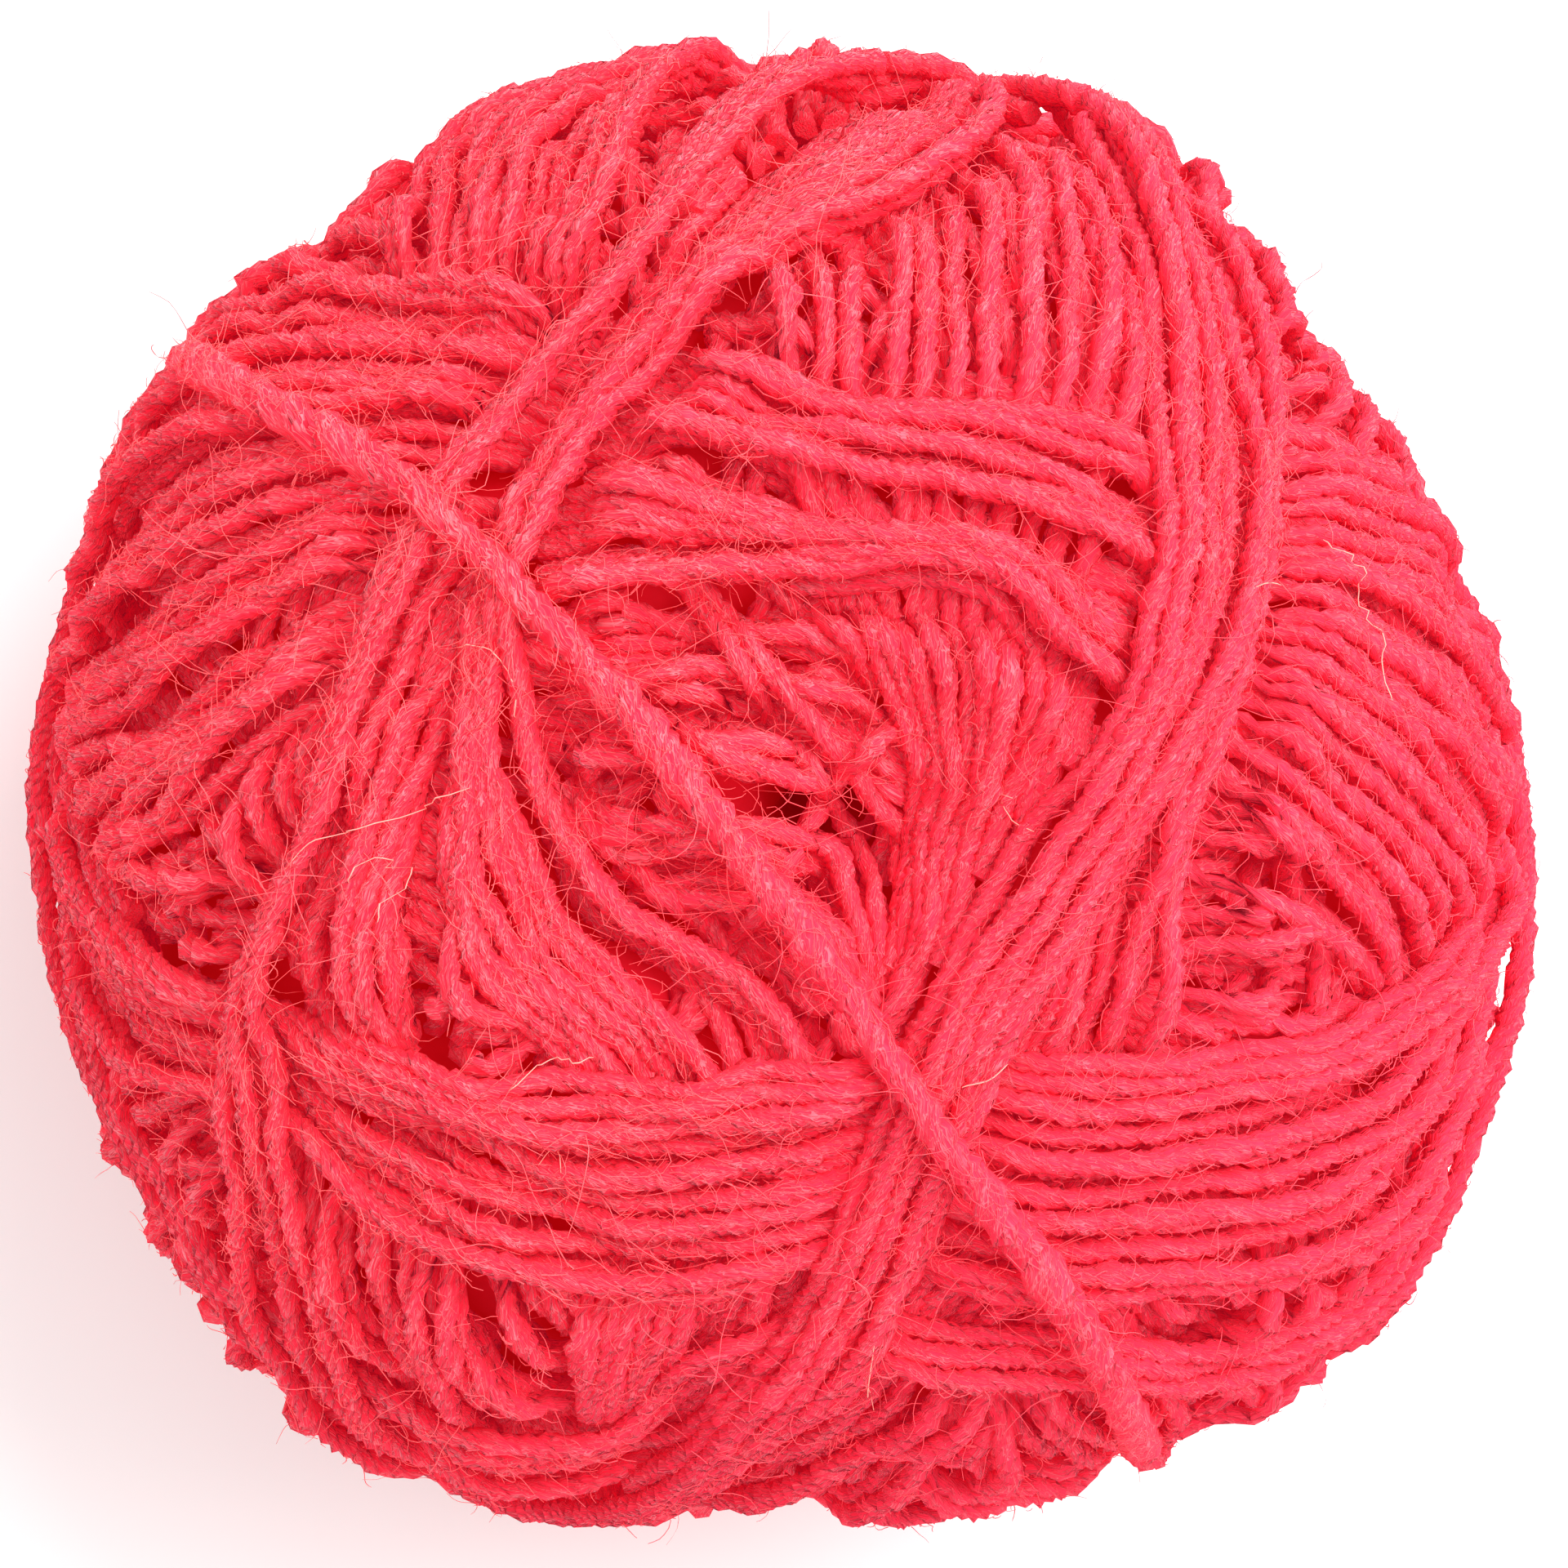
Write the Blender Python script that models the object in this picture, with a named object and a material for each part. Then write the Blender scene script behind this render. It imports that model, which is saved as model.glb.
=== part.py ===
# A machine-wound ball of two-ply Shetland wool yarn. It lies on one end, with
# the centre hollow that its inner end is drawn from upward. The solid is the
# wound form with its main bundles of turns as thick ropes in relief.
# Tables and sizes are in millimetres, and the mesh is made in metres, +Z up,
# on the surface Z = 0, with the ball's middle over the origin.

import math
from collections import namedtuple

import bmesh
import bpy
import numpy as np
from mathutils import Vector

MM = 0.001

# Upright form of the ball
MIDDLE_HEIGHT = 28.0
TOP_RISE = 28.3
BASE_DROP = 29.0            # reaches under the surface, which cuts the flat spot
PROFILE_POWER = 2.6         # 2 is an ellipse, more is squarer
FLAT_SPOT_RADIUS = 13.0     # ropes die out around it
FLAT_SPOT_EASE = 6.0

# Outline seen from above: compass angle from +X in degrees, and radius
OUTLINE = (
    (0, 35.3), (38, 32.9), (60, 35.8), (76, 34.3), (110, 35.5), (128, 33.6),
    (150, 35.6), (166, 34.5), (200, 35.7), (238, 38.1), (266, 34.8),
    (292, 36.3), (317, 38.6), (340, 36.8),
)

# The sunk window in the middle of the upper face, where the older turns show
WINDOW_MIDDLE = (-1.5, -1.0)
WINDOW_HALF = (12.5, 11.0)
WINDOW_DEPTH = 3.2
WINDOW_RIM = 1.35           # its rim and its slope, as shares of its half size
WINDOW_SLOPE = 0.6

# The centre hollow
HOLLOW_MIDDLE = (6.2, -3.9)
HOLLOW_MOUTH_RADIUS = 7.4
HOLLOW_THROAT_RADIUS = 4.9
HOLLOW_END_RADIUS = 3.9
HOLLOW_FLOOR_HEIGHT = 39.5
HOLLOW_THROAT_HEIGHT = 49.0
HOLLOW_MOUTH_HEIGHT = 54.5
HOLLOW_FLOOR_SHARE = 0.7    # the floor's radius, as a share of the end's
HOLLOW_FLOOR_ROUND = 1.2
HOLLOW_FLARE = 1.2
HOLLOW_CLEAR = 4.0          # how far its cutter reaches above the ball
HOLLOW_SIDES = 20

# A rope stands for two or three turns side by side
ROPE_RADIUS = 2.1
ROPE_RISE = 1.7             # its height above the turns that it lies on
ROPE_ROUNDNESS = 0.6        # half an ellipse at 0.5, more pointed above
ROPE_PLACES = 17            # places across a rope at which its height is set
ROPE_STIFFNESS = 16         # path points over which it evens out its ground
RELIEF_DEEPEST = -2.2
RELIEF_HIGHEST = 1.5
SOFTENING = 0.55            # how far the relief is averaged around a point
SOFTENING_RINGS = ((0.6, 5), (1.0, 9))
CROSSING_RADIUS = 1.25      # the single last turn across the face
CROSSING_SINK = 0.45
CROSSING_SPAN = 1.3         # how far it bridges over a dip before it sags
CROSSING_STIFFNESS = 9
CROSSING_DIVE = 3.0         # how deep its ends go under the other turns
CROSSING_DIVE_POINTS = 12
CROSSING_SIDES = 8
CROSSING_STEP = 1.5

# The edges of the bundles are given as they look from this far above the
# ball's middle, so that points on the near face are brought in a little
SIGHT_DISTANCE = 450.0

# Older turns: great circles that pass the hollow at these distances
ROSETTE_ROPES = 46
ROSETTE_NEAREST = 0.22
ROSETTE_FURTHEST = 0.95
GOLDEN_TURN = math.pi * (3.0 - math.sqrt(5.0))

# Grid of cells on the six sides of a cube around the ball
CELLS = 100
COARSE_CELLS = 12
BLUR_ANGLE = 0.17
PATH_STEP = 0.009           # radians between a path's points
STATION_STEPS = 60
MEAN_RADIUS = 33.0

# Mesh
SIDE_CUTS = 63
FACE_PULL = 0.2             # draws the mesh's points together on the upper face
KEPT_SHARE = 0.17           # share of the fine mesh's triangles that is kept
FLAT_SNAP = 0.05

Band = namedtuple("Band", "name ropes one_edge other_edge")

# Bundles in the order in which they were wound. Each runs over the upper face
# between its two edges, and over the hidden face as its mirror image through
# the ball's middle, as a turn round a ball does.
BANDS = (
    Band("upper left fan", 3,
         ((-17, 31.5), (-18.5, 25), (-22, 16), (-27, 5)),
         ((-2, 35), (-8, 27.5), (-13, 18), (-18, 6))),
    Band("upper right fan", 4,
         ((1, 34.5), (4, 27.5), (8, 21), (12, 13)),
         ((17, 31), (19.5, 25), (20.5, 18), (19, 10))),
    Band("right fan", 5,
         ((8, 20), (18, 19), (27, 16.5), (32.5, 12)),
         ((14, 7), (19, 3.5), (27, -4), (31, -12))),
    Band("inner right", 2,
         ((0, 20), (4, 9.4), (8.6, 0), (7, -10), (1, -22)),
         ((18, 20), (15.5, 9), (13.2, -1), (10, -10), (3, -24))),
    Band("crown", 1,
         ((-28, 20), (-15, 22), (2, 19.6), (14, 18), (25, 10)),
         ((-29.5, 15), (-15, 17.6), (0, 15.6), (12, 13.1), (22, 8))),
    Band("brow", 3,
         ((-31, 9.5), (-18, 15.4), (-3, 14.2), (12, 11), (23, 5.5)),
         ((-32, -5), (-20, 5.5), (-3, 10.2), (9.6, 9.9), (20, 4))),
    Band("left outer fan", 3,
         ((3, 34), (-7, 25.5), (-17, 13.5), (-22.5, -1), (-25.8, -14), (-24, -26)),
         ((6, 33), (-4.5, 25), (-13.5, 14), (-18.2, 2), (-19.5, -10), (-15.5, -25))),
    Band("left inner fan", 3,
         ((6, 33), (-4, 25), (-13, 14.5), (-17, 3), (-16.5, -9), (-10, -20)),
         ((10, 31), (-2.5, 24), (-11, 14), (-13.2, 1.5), (-8.8, -6.5), (2, -16))),
    Band("right outer fan", 3,
         ((15, 31), (20, 18), (21, 8), (17.5, -2), (13, -12), (9, -20)),
         ((19, 29.5), (24, 15), (23, 6), (20.3, -3), (18.8, -12), (18, -22))),
    Band("foot", 3,
         ((-34.5, -2), (-24.5, -11.5), (-8, -15.2), (5, -14), (20, -13.5), (32, -9)),
         ((-33, -11), (-25, -16.8), (-9, -25), (3, -25), (19, -25), (32.5, -17.5))),
    Band("lower arc", 1,
         ((-12, -31.5), (-4, -28), (5, -27), (14, -27), (24, -27), (31, -21)),
         ((-7, -34), (0, -30), (6, -28.5), (14, -29), (22, -29), (29, -25))),
    Band("right waist", 2,
         ((13.5, 32), (18, 20), (18.3, 9), (14, -1.5), (7.3, -12.5), (0, -27.5)),
         ((18.5, 30), (23.8, 17), (22.5, 7), (18, -3), (10.8, -13.2), (3, -29))),
)

# The last turn, which crosses the face alone
CROSSING = ((-30, 21), (-24, 17.5), (-15.8, 12.4), (-6.2, 1.9), (1.7, -8.3),
            (7.6, -16.6), (13.5, -24.5), (17, -31))

CORAL = (0.78, 0.055, 0.085, 1.0)
WOOL_ROUGHNESS = 0.95


def outline_radius(angle):
    """Radius of the outline at compass angles in radians, as a smooth curve."""
    corners = np.radians([row[0] for row in OUTLINE])
    radii = np.array([row[1] for row in OUTLINE])
    turn = 2.0 * math.pi
    corners = np.concatenate([corners - turn, corners, corners + turn])
    radii = np.tile(radii, 3)
    angle = np.mod(angle, turn)
    after = np.searchsorted(corners, angle, side="right")
    low, high = corners[after - 1], corners[after]
    share = (angle - low) / (high - low)
    ease = 0.5 * share + 0.5 * share * share * (3.0 - 2.0 * share)
    return radii[after - 1] * (1.0 - ease) + radii[after] * ease


def face_point(x, y):
    """Unit direction from the ball's middle to the face at a seen point."""
    seen = np.hypot(x, y) / outline_radius(np.arctan2(y, x))
    seen = np.minimum(seen, 0.992)
    z = TOP_RISE * (1.0 - seen ** PROFILE_POWER) ** (1.0 / PROFILE_POWER)
    nearness = 1.0 - z / SIGHT_DISTANCE
    points = np.stack([x * nearness, y * nearness, z], axis=-1)
    return points / np.linalg.norm(points, axis=-1, keepdims=True)


def form_radius(direction):
    """Distance from the ball's middle to its mean surface."""
    x, y, z = direction[..., 0], direction[..., 1], direction[..., 2]
    level = np.hypot(x, y)
    reach = outline_radius(np.arctan2(y, x))
    half = np.where(z > 0, TOP_RISE, BASE_DROP)
    power = PROFILE_POWER
    radius = ((level / reach) ** power + (np.abs(z) / half) ** power) ** (-1.0 / power)
    across = (x * radius - WINDOW_MIDDLE[0]) / WINDOW_HALF[0]
    along = (y * radius - WINDOW_MIDDLE[1]) / WINDOW_HALF[1]
    inside = (WINDOW_RIM - np.sqrt(across ** 2 + along ** 2)) / WINDOW_SLOPE
    inside = np.clip(inside, 0.0, 1.0)
    sunk = WINDOW_DEPTH * inside * inside * (3.0 - 2.0 * inside)
    return radius - np.where(z > 0, sunk, 0.0)


def cell_of(direction, count):
    """Index of the cube-map cell that each direction falls in."""
    size = np.abs(direction)
    axis = np.argmax(size, axis=-1)
    main = np.take_along_axis(direction, axis[..., None], -1)[..., 0]
    second = np.take_along_axis(direction, ((axis + 1) % 3)[..., None], -1)[..., 0]
    third = np.take_along_axis(direction, ((axis + 2) % 3)[..., None], -1)[..., 0]
    side = axis * 2 + (main > 0)
    u = np.arctan(second / np.abs(main)) * 4.0 / math.pi
    v = np.arctan(third / np.abs(main)) * 4.0 / math.pi
    column = np.clip(((u + 1.0) * 0.5 * count).astype(int), 0, count - 1)
    row = np.clip(((v + 1.0) * 0.5 * count).astype(int), 0, count - 1)
    return (side * count + row) * count + column


def cell_directions(count):
    """Unit direction of every cell's middle, in the order of cell_of."""
    steps = np.tan(((np.arange(count) + 0.5) / count * 2.0 - 1.0) * math.pi / 4.0)
    v, u = np.meshgrid(steps, steps, indexing="ij")
    sides = []
    for axis in range(3):
        for sign in (-1.0, 1.0):
            block = np.zeros((count, count, 3))
            block[..., axis] = sign
            block[..., (axis + 1) % 3] = u
            block[..., (axis + 2) % 3] = v
            sides.append(block.reshape(-1, 3))
    directions = np.concatenate(sides)
    return directions / np.linalg.norm(directions, axis=1, keepdims=True)


def closed_path(stations):
    """Evenly spaced unit directions on a smooth loop through the stations
    and their mirror images through the ball's middle."""
    loop = np.concatenate([stations, -stations])
    before = np.roll(loop, 1, axis=0)
    after = np.roll(loop, -1, axis=0)
    beyond = np.roll(loop, -2, axis=0)
    t = np.linspace(0.0, 1.0, STATION_STEPS, endpoint=False)[None, :, None]
    a, b, c, d = (p[:, None, :] for p in (before, loop, after, beyond))
    curve = 0.5 * (2.0 * b + (c - a) * t + (2.0 * a - 5.0 * b + 4.0 * c - d) * t ** 2
                   + (3.0 * b - a - 3.0 * c + d) * t ** 3)
    curve = curve.reshape(-1, 3)
    curve /= np.linalg.norm(curve, axis=1, keepdims=True)
    gaps = np.linalg.norm(np.roll(curve, -1, axis=0) - curve, axis=1)
    far = np.concatenate([[0.0], np.cumsum(gaps)])
    count = int(far[-1] / PATH_STEP)
    even = np.linspace(0.0, far[-1], count, endpoint=False)
    closed = np.concatenate([curve, curve[:1]])
    path = np.stack([np.interp(even, far, closed[:, k]) for k in range(3)], axis=1)
    return path / np.linalg.norm(path, axis=1, keepdims=True)


def smooth_along(values, reach):
    """Mean of a closed row of values over a window of reach each way."""
    window = np.hanning(2 * reach + 3)[1:-1]
    window /= window.sum()
    wrapped = np.concatenate([values[-reach:], values, values[:reach]])
    return np.convolve(wrapped, window, mode="valid")


def lay_rope(height, path):
    """Lays one rope on the height map, over what is already there."""
    heading = np.roll(path, -1, axis=0) - np.roll(path, 1, axis=0)
    across = np.cross(path, heading)
    across /= np.linalg.norm(across, axis=1, keepdims=True)
    share = np.linspace(-1.0, 1.0, ROPE_PLACES)
    arch = (1.0 - share ** 2) ** ROPE_ROUNDNESS
    spread = share * ROPE_RADIUS / MEAN_RADIUS
    touched = path[:, None, :] + across[:, None, :] * spread[None, :, None]
    touched /= np.linalg.norm(touched, axis=2, keepdims=True)
    cells = cell_of(touched, CELLS)
    ground = smooth_along(height[cells].mean(axis=1), ROPE_STIFFNESS)
    top = ground[:, None] + ROPE_RISE * arch[None, :]
    height[cells.ravel()] = top.ravel()


def rosette_paths():
    """Loops of the older turns, which pass round the centre hollow."""
    pole = face_point(*(np.array(v, dtype=float) for v in HOLLOW_MIDDLE))
    side = np.cross(pole, [0.0, 1.0, 0.0])
    side /= np.linalg.norm(side)
    other = np.cross(pole, side)
    t = np.arange(0.0, 2.0 * math.pi, PATH_STEP)[:, None]
    for k in range(ROSETTE_ROPES):
        share = 1.0 - k / (ROSETTE_ROPES - 1)
        miss = ROSETTE_NEAREST + (ROSETTE_FURTHEST - ROSETTE_NEAREST) * share
        turn = k * GOLDEN_TURN
        flat = side * math.cos(turn) + other * math.sin(turn)
        normal = pole * math.sin(miss) + flat * math.cos(miss)
        first = np.cross(normal, pole)
        first /= np.linalg.norm(first)
        second = np.cross(normal, first)
        yield first * np.cos(t) + second * np.sin(t)


def band_paths(band):
    """Loops of a bundle's ropes, spread evenly between its two edges."""
    one = np.array(band.one_edge, dtype=float)
    other = np.array(band.other_edge, dtype=float)
    for k in range(band.ropes):
        share = (k + 0.5) / band.ropes
        line = one * (1.0 - share) + other * share
        yield closed_path(face_point(line[:, 0], line[:, 1]))


def relief_map():
    """Height of the laid ropes above or below their mean, cell by cell."""
    directions = cell_directions(CELLS)
    height = np.zeros(len(directions))
    for path in rosette_paths():
        lay_rope(height, path)
    for band in BANDS:
        for path in band_paths(band):
            lay_rope(height, path)
    coarse = cell_of(directions, COARSE_CELLS)
    count = np.bincount(coarse)
    mean = np.bincount(coarse, weights=height) / count
    centres = cell_directions(COARSE_CELLS)
    closeness = directions @ centres.T
    weight = np.exp((closeness - 1.0) / BLUR_ANGLE ** 2)
    blurred = weight @ mean / weight.sum(axis=1)
    return np.clip(height - blurred, RELIEF_DEEPEST, RELIEF_HIGHEST)


def soft_relief(direction, relief):
    """Relief averaged over a small ring of places around each direction."""
    side = np.cross(direction, [0.31, 0.57, 0.76])
    side /= np.linalg.norm(side, axis=1, keepdims=True)
    other = np.cross(direction, side)
    total = relief[cell_of(direction, CELLS)].astype(float)
    places = 1
    for reach, count in SOFTENING_RINGS:
        for k in range(count):
            angle = 2.0 * math.pi * (k + 0.5 * reach) / count
            step = (side * math.cos(angle) + other * math.sin(angle)) * reach
            total += relief[cell_of(direction + step * SOFTENING / MEAN_RADIUS, CELLS)]
            places += 1
    return total / places


def surface_radius(direction, relief):
    """Distance from the ball's middle to the finished surface."""
    radius = form_radius(direction)
    level = np.hypot(direction[:, 0], direction[:, 1]) * radius
    below = direction[:, 2] < 0
    grown = np.clip((level - FLAT_SPOT_RADIUS) / FLAT_SPOT_EASE, 0.0, 1.0)
    share = np.where(below, grown, 1.0)
    radius = radius + soft_relief(direction, relief) * share
    drop = np.maximum(-direction[:, 2], 1e-6)
    return np.where(below, np.minimum(radius, MIDDLE_HEIGHT / drop), radius)


def add_material(thing):
    """Gives the object its wool material."""
    wool = bpy.data.materials.new("coral_wool")
    wool.use_nodes = True
    shader = wool.node_tree.nodes["Principled BSDF"]
    shader.inputs["Base Color"].default_value = CORAL
    shader.inputs["Roughness"].default_value = WOOL_ROUGHNESS
    shader.inputs["Metallic"].default_value = 0.0
    thing.data.materials.append(wool)


def add_object(name, mesh_maker):
    """Makes an object of a new mesh that mesh_maker fills in."""
    mesh = bpy.data.meshes.new(name)
    work = bmesh.new()
    mesh_maker(work)
    bmesh.ops.recalc_face_normals(work, faces=work.faces)
    work.to_mesh(mesh)
    work.free()
    thing = bpy.data.objects.new(name, mesh)
    bpy.context.collection.objects.link(thing)
    return thing


def wound_form(work, relief):
    """A cube's grid blown up to the ball, denser on the upper face."""
    bmesh.ops.create_cube(work, size=2.0)
    bmesh.ops.subdivide_edges(work, edges=work.edges[:], cuts=SIDE_CUTS, use_grid_fill=True)
    corners = np.array([tuple(v.co) for v in work.verts])
    even = np.tan(corners * math.pi / 4.0)
    even /= np.linalg.norm(even, axis=1, keepdims=True)
    polar = np.arccos(np.clip(even[:, 2], -1.0, 1.0))
    polar = polar - FACE_PULL * np.sin(polar)
    compass = np.arctan2(even[:, 1], even[:, 0])
    direction = np.stack([np.sin(polar) * np.cos(compass),
                          np.sin(polar) * np.sin(compass), np.cos(polar)], axis=1)
    places = direction * surface_radius(direction, relief)[:, None]
    places[:, 2] = np.maximum(places[:, 2] + MIDDLE_HEIGHT, 0.0)
    for vertex, place in zip(work.verts, places):
        vertex.co = Vector(place * MM)


def thin_out(ball):
    """Keeps the triangles that the relief needs, and one face for the flat spot."""
    step = ball.modifiers.new("thinning", "DECIMATE")
    step.ratio = KEPT_SHARE
    step.use_collapse_triangulate = True
    seen = ball.evaluated_get(bpy.context.evaluated_depsgraph_get())
    thinned = bpy.data.meshes.new_from_object(seen)
    ball.modifiers.clear()
    work = bmesh.new()
    work.from_mesh(thinned)
    for vertex in work.verts:
        if vertex.co.z < FLAT_SNAP * MM:
            vertex.co.z = 0.0
    flat = [e for e in work.edges
            if all(v.co.z == 0.0 for f in e.link_faces for v in f.verts)]
    bmesh.ops.dissolve_edges(work, edges=flat, use_verts=True)
    work.to_mesh(ball.data)
    work.free()
    bpy.data.meshes.remove(thinned)


def hollow_shape(work):
    """The hollow's cutter, turned about an upright axis."""
    nearness = 1.0 - (HOLLOW_MOUTH_HEIGHT - MIDDLE_HEIGHT) / SIGHT_DISTANCE
    middle = Vector((HOLLOW_MIDDLE[0] * nearness, HOLLOW_MIDDLE[1] * nearness, 0.0)) * MM
    steps = (
        (HOLLOW_END_RADIUS * HOLLOW_FLOOR_SHARE, HOLLOW_FLOOR_HEIGHT),
        (HOLLOW_END_RADIUS, HOLLOW_FLOOR_HEIGHT + HOLLOW_FLOOR_ROUND),
        (HOLLOW_THROAT_RADIUS, HOLLOW_THROAT_HEIGHT),
        (HOLLOW_MOUTH_RADIUS, HOLLOW_MOUTH_HEIGHT),
        (HOLLOW_MOUTH_RADIUS * HOLLOW_FLARE, MIDDLE_HEIGHT + TOP_RISE + HOLLOW_CLEAR),
    )
    rings = []
    for radius, height in steps:
        ring = []
        for k in range(HOLLOW_SIDES):
            angle = 2.0 * math.pi * k / HOLLOW_SIDES
            spot = Vector((math.cos(angle), math.sin(angle), 0.0)) * radius * MM
            ring.append(work.verts.new(middle + spot + Vector((0.0, 0.0, height * MM))))
        rings.append(ring)
    join_rings(work, rings)


def join_rings(work, rings):
    """Closes rings of points into a tube with two end caps."""
    for low, high in zip(rings, rings[1:]):
        for k in range(len(low)):
            nxt = (k + 1) % len(low)
            work.faces.new((low[k], low[nxt], high[nxt], high[k]))
    work.faces.new(rings[0][::-1])
    work.faces.new(rings[-1])


def crossing_line(relief):
    """Points of the last turn's middle line, taut over the ropes below."""
    seen = np.array(CROSSING, dtype=float)
    stations = face_point(seen[:, 0], seen[:, 1])
    path = closed_path(stations)
    first = np.argmax(path @ stations[0])
    path = np.roll(path, -first, axis=0)
    last = np.argmax(path @ stations[-1])
    path = path[:last + 1]
    ground = surface_radius(path, relief)
    steps = np.linalg.norm(np.diff(path, axis=0), axis=1)
    travel = np.concatenate([[0.0], np.cumsum(steps)])
    flat = np.stack([ground * np.cos(travel), ground * np.sin(travel)], axis=1)
    hull = [0]
    for k in range(1, len(flat)):
        while len(hull) > 1 and turns_inward(flat[hull[-2]], flat[hull[-1]], flat[k]):
            hull.pop()
        hull.append(k)
    taut = ground.copy()
    for a, b in zip(hull, hull[1:]):
        here = travel[a:b + 1]
        chord = ground[a] * ground[b] * math.sin(travel[b] - travel[a])
        taut[a:b + 1] = chord / (ground[a] * np.sin(here - travel[a])
                                 + ground[b] * np.sin(travel[b] - here))
    taut = np.minimum(taut, ground + CROSSING_SPAN)
    mean = np.ones(2 * CROSSING_STIFFNESS + 1) / (2 * CROSSING_STIFFNESS + 1)
    taut = np.convolve(np.pad(taut, CROSSING_STIFFNESS, mode="edge"), mean, mode="valid")
    lift = np.full(len(path), CROSSING_RADIUS - CROSSING_SINK)
    lift[:CROSSING_DIVE_POINTS] -= np.linspace(CROSSING_DIVE, 0.0, CROSSING_DIVE_POINTS)
    lift[-CROSSING_DIVE_POINTS:] -= np.linspace(0.0, CROSSING_DIVE, CROSSING_DIVE_POINTS)
    points = path * (taut + lift)[:, None]
    far = np.concatenate([[0.0], np.cumsum(np.linalg.norm(np.diff(points, axis=0), axis=1))])
    count = int(far[-1] / CROSSING_STEP)
    even = np.linspace(0.0, far[-1], count + 1)
    line = np.stack([np.interp(even, far, points[:, k]) for k in range(3)], axis=1)
    line[:, 2] += MIDDLE_HEIGHT
    return line * MM


def turns_inward(a, b, c):
    """True where b lies under the straight line from a to c."""
    return (b[0] - a[0]) * (c[1] - a[1]) - (b[1] - a[1]) * (c[0] - a[0]) <= 0.0


def crossing_shape(work, relief):
    """The last turn as a round tube along its line."""
    line = [Vector(p) for p in crossing_line(relief)]
    middle = Vector((0.0, 0.0, MIDDLE_HEIGHT * MM))
    rings = []
    for k, point in enumerate(line):
        heading = line[min(k + 1, len(line) - 1)] - line[max(k - 1, 0)]
        heading.normalize()
        side = heading.cross(point - middle).normalized()
        up = side.cross(heading)
        ring = []
        for s in range(CROSSING_SIDES):
            angle = 2.0 * math.pi * (s + 0.5) / CROSSING_SIDES
            spot = side * math.cos(angle) + up * math.sin(angle)
            ring.append(work.verts.new(point + spot * CROSSING_RADIUS * MM))
        rings.append(ring)
    join_rings(work, rings)


def join_by_boolean(thing, other, operation):
    """Adds a Boolean with a hidden partner to an object."""
    other.hide_render = True
    other.display_type = "WIRE"
    step = thing.modifiers.new(other.name, "BOOLEAN")
    step.operation = operation
    step.solver = "EXACT"
    step.object = other


def centre_on_origin(ball, partners):
    """Moves everything so that the ball's box stands centred on the origin."""
    bpy.context.view_layer.update()
    seen = ball.evaluated_get(bpy.context.evaluated_depsgraph_get())
    corners = [Vector(corner) for corner in seen.bound_box]
    for thing in [ball, *partners]:
        thing.location.x = -0.5 * (min(c.x for c in corners) + max(c.x for c in corners))
        thing.location.y = -0.5 * (min(c.y for c in corners) + max(c.y for c in corners))


def main():
    for old in list(bpy.data.objects):
        bpy.data.objects.remove(old, do_unlink=True)
    relief = relief_map()
    ball = add_object("yarn_ball", lambda work: wound_form(work, relief))
    thin_out(ball)
    hollow = add_object("hollow_cutter", hollow_shape)
    crossing = add_object("crossing_turn", lambda work: crossing_shape(work, relief))
    join_by_boolean(ball, hollow, "DIFFERENCE")
    join_by_boolean(ball, crossing, "UNION")
    centre_on_origin(ball, (hollow, crossing))
    add_material(ball)
    ball.data.shade_smooth()


main()
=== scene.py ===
import math

import bmesh
import bpy
import numpy as np
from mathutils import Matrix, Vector


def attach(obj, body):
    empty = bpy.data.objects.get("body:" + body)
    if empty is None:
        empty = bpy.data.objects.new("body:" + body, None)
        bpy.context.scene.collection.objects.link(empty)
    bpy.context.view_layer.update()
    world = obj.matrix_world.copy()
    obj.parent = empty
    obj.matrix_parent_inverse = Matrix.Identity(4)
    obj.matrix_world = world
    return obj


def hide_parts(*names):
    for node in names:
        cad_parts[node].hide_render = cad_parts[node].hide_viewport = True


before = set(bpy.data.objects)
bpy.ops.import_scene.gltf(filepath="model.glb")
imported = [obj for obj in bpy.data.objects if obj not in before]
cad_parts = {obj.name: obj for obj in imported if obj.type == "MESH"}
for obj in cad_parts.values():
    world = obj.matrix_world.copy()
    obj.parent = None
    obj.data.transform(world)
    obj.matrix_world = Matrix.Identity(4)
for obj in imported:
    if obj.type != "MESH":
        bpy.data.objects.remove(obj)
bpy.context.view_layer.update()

# All tables are in millimetres, with the ball's middle over the origin. A place
# on the near face is given as it looks from straight above.
mm = 0.001

ballForm = {
    "middleHeight": 28.0,
    "shift": (-0.21, 0.22, 28.0),       # puts the wound ball's middle over the origin
    "topRise": 28.3,
    "baseDrop": 29.0,
    "profilePower": 2.6,
    "outline": (
        (0, 35.3), (38, 32.9), (60, 35.8), (76, 34.3), (110, 35.5), (128, 33.6),
        (150, 35.6), (166, 34.5), (200, 35.7), (238, 38.1), (266, 34.8),
        (292, 36.3), (317, 38.6), (340, 36.8),
    ),
    "windowMiddle": (-1.5, -1.0),
    "windowHalf": (12.5, 11.0),
    "windowDepth": 3.2,
    "windowRim": 1.35,
    "windowSlope": 0.6,
    "sightDistance": 450.0,
    "seenMost": 0.992,                  # how near the outline a place can be given
}

# The centre hollow, its angles in radians from its axis
hollowForm = {
    "middle": (6.2, -3.9),
    "depth": 11.0,
    "floorAngle": 0.13,
    "mouthAngle": 0.26,
    "edgeDip": 0.5,         # deeper than this doesn't count in the mean surface
}

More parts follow.
